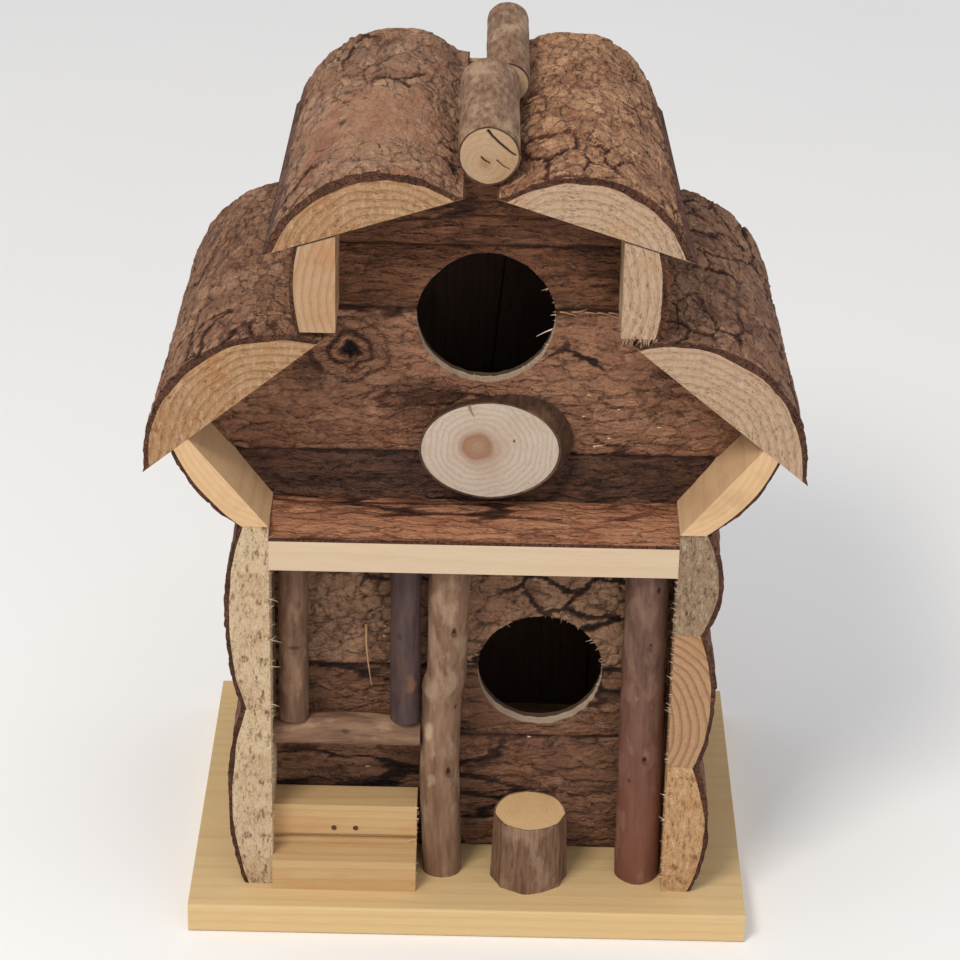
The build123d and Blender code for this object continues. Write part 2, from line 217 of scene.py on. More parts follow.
def box(name):
    """A CAD node's lowest and highest corners."""
    low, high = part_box(name)
    return np.array(low) / MM, np.array(high) / MM


FRONT = box("left_lower_roof_slab")[0][1]


def is_roof(name):
    return name.endswith("roof_slab")


def through(name, axis=1):
    """The ends of the middle line through a node's box, and half the box's sizes."""
    low, high = box(name)
    start, end = (low + high) / 2, (low + high) / 2
    start[axis], end[axis] = low[axis], high[axis]
    return start, end, (high - low) / 2


def circle(p, q, r):
    """Centre and radius of the circle through three points."""
    sides = 2 * np.array([q - p, r - p])
    centre = np.linalg.solve(sides, np.array([q @ q - p @ p, r @ r - p @ p]))
    return centre, np.linalg.norm(p - centre)


class Section:
    """A slab's end outline, in x and z: a flat sawn face from a to b, and an arc of bark over it.

    A side slab also has cut edges between the two. A roof slab's arc runs right down to its sawn face."""

    def __init__(self, name):
        points = cad(name)
        ends = points[np.abs(points[:, 1] - points[:, 1].min()) < 0.01][:, [0, 2]]
        ends = np.unique(np.round(ends, 2), axis=0)
        out = ends - ends.mean(0)
        loop = ends[np.argsort(np.arctan2(out[:, 1], out[:, 0]))]
        longest = np.argmax(np.linalg.norm(np.roll(loop, -1, 0) - loop, axis=1))
        loop = np.roll(loop, -longest, axis=0)
        self.a, self.b = loop[0], loop[1]
        arc = np.concatenate((loop[1:], loop[:1])) if is_roof(name) else loop[2:]
        self.centre, self.radius = circle(arc[0], arc[len(arc) // 2], arc[-1])
        angles = np.unwrap([np.arctan2(*(p - self.centre)[::-1]) for p in arc])
        self.start, self.end = angles[-1], angles[0]
        self.inset = 0.006 if is_roof(name) else 0.0
        self.arc = abs(self.end - self.start) * self.radius

    def flat_at(self, u):
        return self.a + u[:, None] * (self.b - self.a)

    def bark_at(self, u):
        """Points of the bark, and the way out of it."""
        angle = self.start + (self.inset + (1 - 2 * self.inset) * u) * (self.end - self.start)
        out = rows(np.cos(angle), np.sin(angle))
        return self.centre + self.radius * out, out

    def pith(self):
        """Where the middle of the tree was, behind the bark's crown."""
        crown, out = self.bark_at(np.array([0.5]))
        return crown[0] - min(PITH_FAR, self.radius) * out[0]


# -------- meshes

def turned(faces):
    """The same faces wound the other way, with triangles kept as three corners and a -1."""
    back = faces[:, ::-1].copy()
    three = faces[:, 3] < 0
    back[three] = np.column_stack((faces[three][:, [2, 1, 0]], faces[three][:, 3]))
    return back


def outward(points, faces):
    """The faces wound so that the solid's volume is positive."""
    a, b, c = (points[faces[:, k]] for k in range(3))
    d = points[np.where(faces[:, 3] < 0, faces[:, 2], faces[:, 3])]
    volume = np.sum(np.cross(a, b) * c) + np.sum(np.cross(a, c) * d)
    return faces if volume > 0 else turned(faces)


def placed(name, data):
    """A new object in the scene."""
    made = bpy.data.objects.new(name, data)
    bpy.context.scene.collection.objects.link(made)
    return made


def piece(name, points, faces, stuff, materials, slot, replaced, grain, relief, tag):
    """A mesh that rides on the house, with its materials and the values that they read."""
    used, numbers = np.unique(faces[faces >= 0], return_inverse=True)
    packed = faces.copy()
    packed[faces >= 0] = numbers
    packed = outward(points[used], packed)
    sizes = np.where(packed[:, 3] < 0, 3, 4)
    mesh = bpy.data.meshes.new(name)
    mesh.vertices.add(len(used))
    mesh.loops.add(int(sizes.sum()))
    mesh.polygons.add(len(packed))
    for part, key, values, kind in (
            (mesh.vertices, "co", points[used] * MM, np.float32),
            (mesh.loops, "vertex_index", packed[packed >= 0], np.int32),
            (mesh.polygons, "loop_start", np.cumsum(sizes) - sizes, np.int32),
            (mesh.polygons, "loop_total", sizes, np.int32),
            (mesh.polygons, "material_index", stuff, np.int32),
            (mesh.polygons, "use_smooth", np.ones(len(packed)), bool)):
        part.foreach_set(key, np.asarray(values).astype(kind).ravel())
    mesh.update(calc_edges=True)
    mesh.set_sharp_from_angle(angle=np.radians(CRISP))
    for label, kind, key, values in (
            ("grain", "FLOAT_VECTOR", "vector", grain), ("relief", "FLOAT", "value", relief),
            ("plate", "FLOAT", "value", tag)):
        values = np.zeros(len(points)) + values if kind == "FLOAT" else values
        attribute = mesh.attributes.new(label, kind, "POINT")
        attribute.data.foreach_set(key, values[used].astype(np.float32).ravel())
    for material in materials:
        mesh.materials.append(material)
    made = placed(name, mesh)
    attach(made, "root")
    if replaced:
        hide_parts(*replaced)


def spaced(length, step):
    """Even shares from 0 to 1, about step apart over that length."""
    return np.linspace(0, 1, max(2, int(np.ceil(length / step)) + 1))


BACK_U, FRONT_U, NEAR, FAR, SAWN, BARK = range(6)


def lattice(nu, nv, nw):
    """The skin of a box of points: their whole-number places, the quads, each quad's side and w row."""
    shell = np.zeros((nu, nv, nw), bool)
    for axis in range(3):
        view = np.moveaxis(shell, axis, 0)
        view[0], view[-1] = True, True
    ids = np.full(shell.shape, -1)
    ids[shell] = np.arange(shell.sum())
    levels = np.broadcast_to(np.arange(nw), shell.shape)
    quads, sides, found = [], [], []
    for side, cut, flip in (
            (BACK_U, np.s_[0], True), (FRONT_U, np.s_[-1], False), (NEAR, np.s_[:, 0], False),
            (FAR, np.s_[:, -1], True), (SAWN, np.s_[:, :, 0], True), (BARK, np.s_[:, :, -1], False)):
        grid = ids[cut]
        quad = np.stack((grid[:-1, :-1], grid[1:, :-1], grid[1:, 1:], grid[:-1, 1:]), -1).reshape(-1, 4)
        quads.append(quad[:, ::-1] if flip else quad)
        sides.append(np.full(len(quad), side))
        found.append(levels[cut][:-1, :-1].ravel())
    return np.argwhere(shell), np.concatenate(quads), np.concatenate(sides), np.concatenate(found)


def barked(side, level, wood_rows):
    """Which material each quad of a lattice takes: 0 wood, 1 the bark's cut edge, 2 the bark's outside."""
    banded = (level >= wood_rows) & (side != SAWN)
    return np.where(side == BARK, 2, np.where(banded, 1, 0))


def slab_relief(relief, section, u, spot, valley, joint, outer, tip, seed):
    """A slab's relief with painted shade in the valley, duller bark at its tips, and a joint's dark line.

    outer marks the points of its outside. The others are clean, with a relief of 1."""
    if valley is not None:
        # painted shade: the bark darkens towards the valley between the upper roof slabs, under the ridge log
        valley_shade = fade(np.abs(u - valley) * section.arc + 5 * rough(spot / 9, seed + 50), 4, 20)
        relief = relief * (1 - 0.5 * valley_shade)
    relief = np.where(outer, relief * (1 - 0.25 * tip), 1.0)
    if joint:
        upper = float(section.b[1] > section.a[1])
        relief = np.where(np.abs(u - upper) < 1e-9, 0.0, relief)
    return relief


def slab(name, bark, size, deep, seed, end, outside, step=FINE, gape=0.0, middle=None, taper=0.0, saw=0.25,
         calm=None, valley=None, joint=False):
    """A slab sawn lengthwise from a log, with its bark on: wood rows below, bark rows above.

    valley is the share of the arc where painted shade darkens the bark. joint marks an upright board whose
    upper cut shows as a dark line under the roof."""
    section = Section(name)
    low, high = box(name)
    near, far = low[1], high[1]
    us, vs = spaced(section.arc, step), spaced(far - near, step)
    place, quads, side, level = lattice(len(us), len(vs), WOOD_ROWS + BARK_ROWS + 1)
    u, v, k = us[place[:, 0]], vs[place[:, 1]], place[:, 2]
    flat = section.flat_at(u)
    top, out = section.bark_at(u)
    thick = np.linalg.norm(top - flat, axis=1)
    uneven = 1 + 0.22 * rough(rows(u * section.arc / 13, 0), seed + 60)
    share = np.minimum(bark * uneven / thick, 0.96)
    above = np.clip((k - WOOD_ROWS) / BARK_ROWS, 0, 1)
    w = np.minimum(k, WOOD_ROWS) / WOOD_ROWS * (1 - share) + above * share
    spot = rows(u * section.arc, v * (far - near))
    drop, relief, tag = bark_relief(spot, size, deep, seed, gape, calm)
    drop = np.minimum(drop, 0.6 * thick) * above
    flesh = flat + (top - flat) * w[:, None] - out * drop[:, None]
    y = near + v * (far - near)
    ragged = above * RAGGED_END * worn(rows(u * section.arc / 9, above * 0.7), seed + 30, 2)
    scratch = saw * worn(flesh / (3.0, 1.2), seed + 31) * (1 - above)
    for cut, sign in ((near, 1), (far, -1)):
        y = y + sign * (ragged * np.clip(1 - np.abs(y - cut) / 7, 0, 1) + scratch * (np.abs(y - cut) < 1e-6))
    x = flesh[:, 0]
    lean = 1 - taper * v * smooth(np.abs(x), 30, 80)
    grain = np.column_stack((flesh - (section.pith() if middle is None else middle), y))
    tip = np.clip(np.abs(y - np.clip(y, near + 1.5, far - 1.5)) / 1.5, 0, 1)
    outer = k == WOOD_ROWS + BARK_ROWS
    relief = slab_relief(relief, section, u, spot, valley, joint, outer, tip, seed)
    slot = "roof_slab" if is_roof(name) else "side_slab"
    piece(name + "_look", rows(x * lean, y, flesh[:, 1]), quads, barked(side, level, WOOD_ROWS),
          (end, BARK_BAND, outside), slot, (name,), grain, relief, tag)


def ledge(name, materials, slot, seed):
    """The balcony: a sawn strip in front, and bark that rises to the wall."""
    low, high = box(name)
    points = cad(name)
    lip = points[np.abs(points[:, 1] - low[1]) < 0.01][:, 2].max()
    wide, deep = (high - low)[:2]
    us, vs = spaced(wide, FINE), spaced(deep, 0.7)
    place, quads, side, level = lattice(len(us), len(vs), STRIP_ROWS + 3)
    u, v, k = us[place[:, 0]], vs[place[:, 1]], place[:, 2]
    above = np.clip((k - STRIP_ROWS) / 2, 0, 1)
    rise = lip - low[2] + (high[2] - lip) * np.minimum(1, 1.9 * v - 0.9 * v * v)
    drop, relief, tag = bark_relief(rows(v * deep, u * wide), (7.0, 44.0), 1.7, seed, -0.1)
    w = np.minimum(k, STRIP_ROWS) / STRIP_ROWS * (rise - STRIP_BARK) + above * STRIP_BARK
    ragged = worn(rows(u * wide / 7, 0), seed + 5)
    z = low[2] + w - above * drop * (0.25 + 0.75 * smooth(v * deep, 0, 2)) - above * 0.5 * ragged
    y = low[1] + v * deep + above * 0.8 * ragged * np.clip(1 - v * deep / 4, 0, 1)
    points = rows(low[0] + u * wide, y, z)
    grain = rows(y - low[1] - 60, z - low[2] + 30, points[:, 0])
    relief = np.where(k < STRIP_ROWS + 2, 1.0, relief)
    piece(name + "_look", points, quads, barked(side, level, STRIP_ROWS), materials, slot, (name,), grain,
          relief, tag)


def reach(name, heights):
    """The least and greatest x of a CAD board at each height."""
    points = cad(name)
    edges = np.array([edge.vertices[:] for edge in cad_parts[name].data.edges])
    edges = np.where((points[edges[:, 0], 2] > points[edges[:, 1], 2])[:, None], edges[:, ::-1], edges)
    a, b = points[edges[:, 0]], points[edges[:, 1]]
    found = []
    for z in heights:
        crossed = (a[:, 2] <= z + 0.01) & (b[:, 2] >= z - 0.01)
        low, high = a[crossed], b[crossed]
        share = np.clip((z - low[:, 2]) / np.maximum(high[:, 2] - low[:, 2], 1e-6), 0, 1)
        x = low[:, 0] + share * (high[:, 0] - low[:, 0])
        found.append((x.min(), x.max()))
    return np.array(found)


def snapped(x, z, cells):
    """Cells inside a hole are dropped, and the corners left round it move onto its circle."""
    keep = np.ones(len(cells), bool)
    for cx, cz, radius in HOLES:
        keep &= np.hypot(x[cells].mean(1) - cx, z[cells].mean(1) - cz) > radius
    inner, outer, rim = np.zeros((3, len(x)), bool)
    inner[cells[~keep]] = True
    outer[cells[keep]] = True
    for cx, cz, radius in HOLES:
        away = np.hypot(x - cx, z - cz)
        mine = inner & outer & (np.abs(away - radius) < 3)
        x[mine] = cx + (x[mine] - cx) * radius / away[mine]
        z[mine] = cz + (z[mine] - cz) * radius / away[mine]
        rim |= mine
    return keep, rim


def knot_relief(x, z, knot):
    """Rings of swollen bark round a knot: depth, how far the spot belongs to it, and darkness."""
    kx, kz, radius, seed = knot
    turn = np.arctan2(z - kz, x - kx)
    away = np.hypot((x - kx) * 0.85, z - kz) + 2.6 * rough(rows(np.cos(turn), np.sin(turn)) * 1.3, seed) - 1.0
    mine = fade(away, radius * 0.9, radius * 1.7)
    wave = 0.5 + 0.5 * np.cos(away * 2 * np.pi / (radius * 0.55))
    pit = fade(away, radius * 0.12, radius * 0.45)
    return mine * (wave + 1.6 * pit), mine, mine * (0.7 * wave ** 2 + 0.6 * pit)


def plate_grid(name, step, inset=0.0):
    """A board's front as a grid of x and z, and its cells, with the holes' cells still in it."""
    low, high = box(name)
    zs = low[2] + spaced(high[2] - low[2], step) * (high[2] - low[2])
    ends = reach(name, zs)
    us = spaced(np.ptp(ends, axis=1).max(), step)
    ends = ends + np.array((inset, -inset))
    x = (ends[:, :1] + (ends[:, 1:] - ends[:, :1]) * us).ravel()
    ids = np.arange(len(x)).reshape(len(zs), len(us))
    cells = np.stack((ids[:-1, :-1], ids[:-1, 1:], ids[1:, 1:], ids[1:, :-1]), -1).reshape(-1, 4)
    return x, np.repeat(zs, len(us)), cells


def stacked(x, layers, z, cells, front, edges, back, rim=None, rim_stuff=0):
    """A board from its front grid and the y of each of its layers: points, faces and materials."""
    count, depth = len(x), len(layers)
    directed = np.concatenate([cells[:, [k, (k + 1) % 4]] for k in range(4)])
    keys, back_keys = directed[:, 0] * count + directed[:, 1], directed[:, 1] * count + directed[:, 0]
    hem = directed[~np.isin(keys, back_keys)]
    holed = np.zeros(len(hem), bool) if rim is None else rim[hem].all(1)
    faces = [cells, (cells + (depth - 1) * count)[:, ::-1]]
    stuff = [np.full(len(cells), front), np.full(len(cells), back)]
    for n in range(depth - 1):
        a, b = hem[:, 0] + n * count, hem[:, 1] + n * count
        faces.append(rows(b, a, a + count, b + count))
        # the deepest layer of a hole's rim keeps the edge material, which on the front wall is the painted
        # shade of the inside
        stuff.append(np.where(holed & (n < depth - 2), rim_stuff, edges[n]))
    points = rows(np.tile(x, depth), np.concatenate(layers), np.tile(z, depth))
    return points, np.concatenate(faces), np.concatenate(stuff)


def wall_board(name, materials, size, seed, knots, gape, shade_spots):
    """A horizontal board of the front wall: bark in front, sawn behind, holes bored through.

    Its last argument holds the (x, z, half wide, half tall) of darker places, painted shade on the bark."""
    low, high = box(name)
    x, z, cells = plate_grid(name, FINE)
    keep, rim = snapped(x, z, cells)
    drop, relief, tag = bark_relief(rows(z, x), size, BOARD_BARK, seed, gape)
    for knot in knots:
        dip, mine, dark = knot_relief(x, z, knot)
        drop = drop * (1 - mine) + dip
        relief = relief * (1 - mine) + mine * (1 - dark)
    # painted shade: darker places on the bark where the wall lies in shade
    for shade_x, shade_z, wide, tall in shade_spots:
        away = np.hypot((x - shade_x) / wide, (z - shade_z) / tall) + 0.3 * rough(rows(x, z) / 9, seed + 3)
        relief = relief * (1 - 0.42 * fade(away, 0.6, 1.1))
    share = 2 * (z - low[2]) / (high[2] - low[2]) - 1
    from_seam = (1 - np.abs(share)) * (high[2] - low[2]) / 2
    bark = low[1] + SEAM_GROOVE * share ** 2 + drop
    # painted shade: the bark darkens towards the seams between boards
    relief = relief * (0.35 + 0.65 * smooth(from_seam + 1.2 * rough(rows(x / 7, z / 4), seed), 0.0, 1.6))
    ragged = rim * worn(rows(x * 1.1, z * 1.1) * 0.6, seed + 40) * 0.7
    front = bark + 0.6 * fade(from_seam, 0, 1.6) + ragged
    behind = bark + BOARD_BARK
    layers = (front, np.maximum(front, behind), (behind + high[1]) / 2, np.full(len(x), high[1]))
    points, faces, stuff = stacked(x, layers, z, cells[keep], 2, (1, 0, 0), 0, rim, 3)
    points[:, 2] += np.tile(rim, 4) * 0.25 * noise(points / (1.6, 3.0, 1.6), seed + 41)
    grain = rows(points[:, 1] - low[1] - 45, points[:, 2] - (low[2] + high[2]) / 2, points[:, 0])
    piece(name + "_look", points, faces, stuff, materials, "front_wall", (name,), grain,
          np.concatenate((relief, np.ones(3 * len(x)))), np.tile(tag, 4))


def upright_board(name, materials, seed):
    """A board of the back wall: its inside dark with painted shade, with an open joint, and rough sawn
    outside where boards meet.
    """
    low, high = box(name)
    narrow = plate_grid(name, PLAIN_FINE, BOARD_GAP / 2)[0]
    x, z, cells = plate_grid(name, PLAIN_FINE, 0.02)
    saw = 0.25 * noise(rows(x * 0.1, z * 0.55), seed) + 0.15 * noise(rows(x / 2, z / 2), seed + 1)
    saw = saw - GAP_DEEP * (np.abs(x - narrow) > 0.35 * BOARD_GAP)
    half = (low[1] + high[1]) / 2
    layers = [np.full(len(x), y) for y in (low[1], half, half + 0.5)] + [high[1] - 0.4 + saw]
    points, faces, stuff = stacked(x, layers, z, cells, 1, (1, 1, 0), 0)
    inner = points[:, 1] < half + 0.2
    points[inner, 0] = np.tile(narrow, len(layers))[inner]
    grain = rows(points[:, 0] - (low[0] + high[0]) / 2 + 12, points[:, 1] - low[1] + 26, points[:, 2])
    piece(name + "_look", points, faces, stuff, materials, "back_board", (name,), grain, 1.0, 0.0)


def scarred(points, spread, size, marks, seed):
    """A branch's points with the marks on its front pushed in or out, and the relief that they leave.

    A mark is (x, z, half wide, half tall, relief, push): a scar, a knot or a pale spot."""
    relief = np.ones(len(points))
    for x, z, wide, tall, value, push in marks:
        away = np.hypot((points[:, 0] - x) / wide, (points[:, 2] - z) / tall)
        mine = fade(away + 0.35 * rough(points / 2.2, seed + 7), 0.3, 1.25) * (spread[:, 1] < 0)
        relief = relief * (1 - mine) + value * mine
        points = points + (push * mine / np.maximum(size, 1))[:, None] * spread
    return points, relief


def cracked(sink, relief, face, points, there, splits, seed):
    """Cracks opened in an end, where there is true: how far its points sink in, and the relief left.

    A split is (from, to, sag, width), with its ends as x and z from the middle of the face."""
    for first, last, sag, width in splits:
        first, last = np.array(first), np.array(last)
        long = np.linalg.norm(last - first)
        way = (last - first) / long
        run = (face - first) @ way / long
        shake = 0.25 * noise(points / 2, seed + 8)
        line = (face - first) @ (way[1], -way[0]) - sag * 4 * run * (1 - run) + shake
        gash = np.exp(-(line / (width * (1.1 - 0.4 * run))) ** 2) * (run > 0) * (run < 1) * there
        sink, relief = sink + 3 * width * gash, relief * (1 - gash)
    return sink, relief


def tube(rings, around):
    """Quads between rings of points, and fans from the end rings to two tips that follow all the rings."""
    ids = np.arange(rings * around).reshape(-1, around)
    after = np.roll(ids, -1, axis=1)
    quads = np.stack((ids[:-1], after[:-1], after[1:], ids[1:]), -1).reshape(-1, 4)
    first = rows(after[0], ids[0], ids.size, -1)
    last = rows(ids[-1], after[-1], ids.size + 1, -1)
    return np.concatenate((quads, first, last))


def pole(node, start, end, radius, materials, slot, around, along, rim=0.8, cap_rows=10, marks=(),
         pith=(0.0, 0.0), bow=None, saw=0.2, splits=(), seed=0, name=None):
    """A round branch from start to end, with sawn ends.

    radius(angle, share) is its size, rim the bark seen on its ends, saw the depth of the saw marks there,
    and bow(share) how far its middle line bends."""
    start, end = np.array(start, float), np.array(end, float)
    axis = (end - start) / np.linalg.norm(end - start)
    side = np.cross((0, 1, 0) if abs(axis[1]) < 0.9 else (1, 0, 0), axis)
    side /= np.linalg.norm(side)
    up = np.cross(axis, side)
    rim_share = 1 - rim / radius(np.zeros(1), np.zeros(1))[0]
    cap = np.append(np.linspace(0, rim_share, cap_rows)[1:], 1.0)
    share = np.concatenate((np.zeros(cap_rows), np.linspace(0, 1, along + 1)[1:-1], np.ones(cap_rows)))
    factor = np.concatenate((cap, np.ones(along - 1), cap[::-1]))
    turn, t = np.meshgrid(np.arange(around) * 2 * np.pi / around, share)
    turn, t, grow = turn.ravel(), t.ravel(), np.repeat(factor, around)
    size = radius(turn, t)
    spread = (size * grow)[:, None] * (np.cos(turn)[:, None] * side + np.sin(turn)[:, None] * up)
    points = start + t[:, None] * (end - start) + spread
    if bow is not None:
        points = points + bow(t)
    points, relief = scarred(points, spread, size, marks, seed)
    sink = saw * worn(points / 1.5, seed + 5, 2) * (grow < 1)
    face = rows(size * grow * np.sin(turn), size * grow * np.cos(turn))
    sink, relief = cracked(sink, relief, face, points, t == 0, splits, seed)
    points = points + (np.where(t < 0.5, 1, -1) * sink)[:, None] * axis
    points = np.concatenate((points, [points[:around].mean(0), points[-around:].mean(0)]))
    inner = np.minimum(factor[:-1], factor[1:])
    band = np.where(inner >= 1, 2, np.where(inner >= rim_share, 1, 0))
    stuff = np.concatenate((np.repeat(band, around), np.zeros(2 * around, int)))
    flat = np.concatenate((face[:, ::-1], np.zeros((2, 2)))) - np.array(pith)
    piece(name or node + "_look", points, tube(len(factor), around), stuff, materials, slot, (node,),
          np.column_stack((flat, points @ axis)), np.concatenate((relief, [1, 1])), 0.5)


def hairs(name, strands, material, slot, seed):
    """Torn fibres: thin tapered strands that each curl a little. A strand is (root, way, length, radius)."""
    points, faces = [], []
    for n, (root, way, long, thick) in enumerate(strands):
        way = np.array(way, float) / np.linalg.norm(way)
        curl = 0.5 * (np.array([hashed(np.array([[n, k, seed]]), seed)[0] for k in range(3)]) - 0.5)
        side = np.cross(way, (0.3, 0.2, 1.0) if abs(way[2]) < 0.8 else (1.0, 0.2, 0.3))
        side /= np.linalg.norm(side)
        up = np.cross(way, side)
        base = len(points)
        for share in (0.0, 0.33, 0.66, 1.0):
            spot = np.array(root) + long * (share * way + share ** 2 * curl)
            size = thick * (1 - 0.75 * share)
            points += [spot + size * (np.cos(angle) * side + np.sin(angle) * up) for angle in (0.0, 2.1, 4.2)]
        for row in range(base, base + 9, 3):
            faces += [(row + k, row + (k + 1) % 3, row + (k + 1) % 3 + 3, row + k + 3) for k in range(3)]
        faces += [(base + 2, base + 1, base, -1), (base + 9, base + 10, base + 11, -1)]
    points = np.array(points)
    piece(name, points, np.array(faces), np.zeros(len(faces), int), (material,), slot, (), points, 1.0, 0.0)


# -------- materials

def colour(code):
    """A shader colour from six hex digits of screen red, green and blue."""
    parts = [int(code[k:k + 2], 16) / 255 for k in (0, 2, 4)]
    linear = [c / 12.92 if c <= 0.04045 else ((c + 0.055) / 1.055) ** 2.4 for c in parts]
    return (*linear, 1.0)


class Shade:
    """A node material in the making. Each call adds nodes and gives back an output."""

    def __init__(self, name):
        self.material = bpy.data.materials.new(name)
        self.material.use_nodes = True
        self.tree = self.material.node_tree
        self.shader = self.tree.nodes["Principled BSDF"]
        self.shader.inputs["Specular IOR Level"].default_value = 0.25

    def put(self, socket, value):
        """Links an output to the socket, or sets a number, a vector or a colour's hex digits on it."""
        if isinstance(value, bpy.types.NodeSocket):
            self.tree.links.new(value, socket)
        else:
            socket.default_value = colour(value) if isinstance(value, str) else value

    def node(self, kind, inputs=(), **settings):
        made = self.tree.nodes.new("ShaderNode" + kind)
        for key, value in settings.items():
            setattr(made, key, value)
        for key, value in dict(inputs).items():
            self.put(made.inputs[key], value)
        return made

    def own(self):
        """Places in the object's own metres."""
        return self.node("TexCoord").outputs["Object"]

    def read(self, name, output="Fac"):
        return self.node("Attribute", attribute_name=name).outputs[output]

    def math(self, operation, *values):
        return self.node("Math", enumerate(values), operation=operation).outputs[0]

    def each(self, operation, *vectors):
        return self.node("VectorMath", enumerate(vectors), operation=operation).outputs[0]

    def split(self, vector):
        return self.node("SeparateXYZ", {0: vector}).outputs

    def join(self, *parts):
        return self.node("CombineXYZ", enumerate(parts)).outputs[0]

    def noise(self, vector, scale, detail=3.0, roughness=0.55):
        """Noise over a vector, scaled by one number or by three."""
        if isinstance(scale, tuple):
            vector, scale = self.each("MULTIPLY", vector, scale), 1.0
        inputs = {"Vector": vector, "Scale": scale, "Detail": detail, "Roughness": roughness}
        return self.node("TexNoise", inputs).outputs["Fac"]

    def ramp(self, value, *stops):
        made = self.node("ValToRGB", {"Fac": value})
        ramp = made.color_ramp
        while len(ramp.elements) < len(stops):
            ramp.elements.new(0.5)
        for element, (place, level) in zip(ramp.elements, stops):
            element.position = place
            element.color = (level, level, level, 1)
        return made.outputs["Color"]

    def mix(self, share, under, over):
        return self.node("Mix", {0: share, 6: under, 7: over}, data_type="RGBA").outputs[2]

    def lay(self, under, over, value, *stops):
        """One colour over another, as far as the ramp of the value says."""
        return self.mix(self.ramp(value, *stops), under, over)

    def finish(self, base, roughness, *bumps):
        """The material, with bumps of (height, depth in mm) one on top of another."""
        normal = {}
        for height, deep in bumps:
            inputs = {"Height": height, "Distance": deep * MM, "Strength": 1.0, **normal}
            normal = {"Normal": self.node("Bump", inputs).outputs["Normal"]}
        for key, value in {"Base Color": base, "Roughness": roughness, **normal}.items():
            self.put(self.shader.inputs[key], value)
        return self.material


def board_grain(shade, along, pith):
    """Grain places for a CAD board: across, across and along its fibres, from the middle of its tree."""
    parts = shade.split(shade.each("MULTIPLY", shade.own(), (1 / MM,) * 3))
    order = {"X": (1, 2, 0), "Y": (0, 2, 1), "Z": (0, 1, 2)}[along]
    return shade.each("ADD", shade.join(*[parts[k] for k in order]), (-pith[0], -pith[1], 0.0))


def wood(name, tones, ring=2.4, rings=0.5, dashes=0.5, specks=0.3, rough_saw=0.12, along=None, pith=(0, 0),
         stain=None, stains=0.35, core=None, tears=0.0, wobble=2.2):
    """Sawn softwood: growth rings round the pith, torn fibres, long streaks, stains and an aged core.

    tones are its pale, dark and torn colours. ring is the width of a growth ring, and core is the colour
    and radius of its aged middle. along is the way of a CAD board's fibres; a new mesh has its own grain."""
    pale, dark, dash = tones.split()
    shade = Shade(name)
    math, noise, ramp, mix, lay = shade.math, shade.noise, shade.ramp, shade.mix, shade.lay
    grain = shade.read("grain", "Vector") if along is None else board_grain(shade, along, pith)
    a, b, c = shade.split(grain)
    square = math("ADD", math("MULTIPLY", a, a), math("MULTIPLY", b, b))
    wander = noise(grain, (0.07, 0.07, 0.012), 2.0)
    radius = math("MULTIPLY_ADD", wander, wobble, math("POWER", square, 0.5))
    uneven = noise(grain, (0.03, 0.03, 0.004), 1.0)
    phase = math("MULTIPLY_ADD", uneven, 2.0, math("DIVIDE", radius, ring))
    late = ramp(math("FRACT", phase), (0.0, 0.15), (0.45, 0.1), (0.82, 0.85), (0.93, 1.0), (1.0, 0.15))
    torn = noise(shade.join(radius, math("ARCTAN2", b, a), c), (1.6, 16.0, 0.09), 4.0, 0.7)
    fibre = noise(grain, (2.6, 2.6, 0.06), 4.0, 0.6)
    speck = noise(grain, (1.1, 1.1, 0.5), 4.0, 0.75)
    base = mix(math("MULTIPLY", late, rings), pale, dark)
    base = lay(base, dark, fibre, (0.35, 0.0), (0.75, 0.45))
    base = lay(base, stain or dash, noise(grain, (0.055, 0.055, 0.02)), (0.5, 0.0), (0.72, stains))
    cluster = ramp(noise(grain, (0.16, 0.16, 0.1)), (0.38, 0.25), (0.62, 1.0))
    base = mix(math("MULTIPLY", ramp(torn, (0.52, 0.0), (0.62, dashes)), cluster), base, dash)
    base = lay(base, dash, speck, (0.56, 0.0), (0.68, specks))
    if core is not None:
        middle = math("DIVIDE", radius, 2 * core[1])
        base = lay(base, core[0], middle, (0.2, 0.675), (0.42, 0.9), (0.54, 0.225), (0.8, 0.0))
    if along is None:
        base = lay(base, "281a12", shade.read("relief"), (0.3, 1.0), (0.8, 0.0))
    tear = noise(grain, (0.5, 0.2, 0.25), 5.0, 0.72)
    base = lay(base, dash, tear, (0.53, 0.0), (0.66, tears))
    base = lay(base, "eedcbe", tear, (0.34, 0.6 * tears), (0.46, 0.0))
    return shade.finish(base, 0.75, (fibre, 0.10), (tear, -2.5 * tears),
                        (math("ADD", torn, speck), rough_saw * 2), (late, 0.05))


def flakes(shade, spot, size, stretch, shake):
    """Small flakes of bark: distance to their edges, and a random tone for each."""
    drift = shade.node("TexNoise", {"Vector": spot, "Scale": 0.7 / size, "Detail": 3.0}).outputs["Color"]
    moved = shade.each("MULTIPLY_ADD", drift, (shake,) * 3, spot)
    squash = (1 / size, 1 / size, 1 / (size * stretch))
    scaled = {"Vector": shade.each("MULTIPLY", moved, squash), "Scale": 1.0}
    edge = shade.node("TexVoronoi", scaled, feature="DISTANCE_TO_EDGE")
    cell = shade.node("TexVoronoi", scaled, feature="F1")
    return edge.outputs["Distance"], shade.split(cell.outputs["Color"])[0]


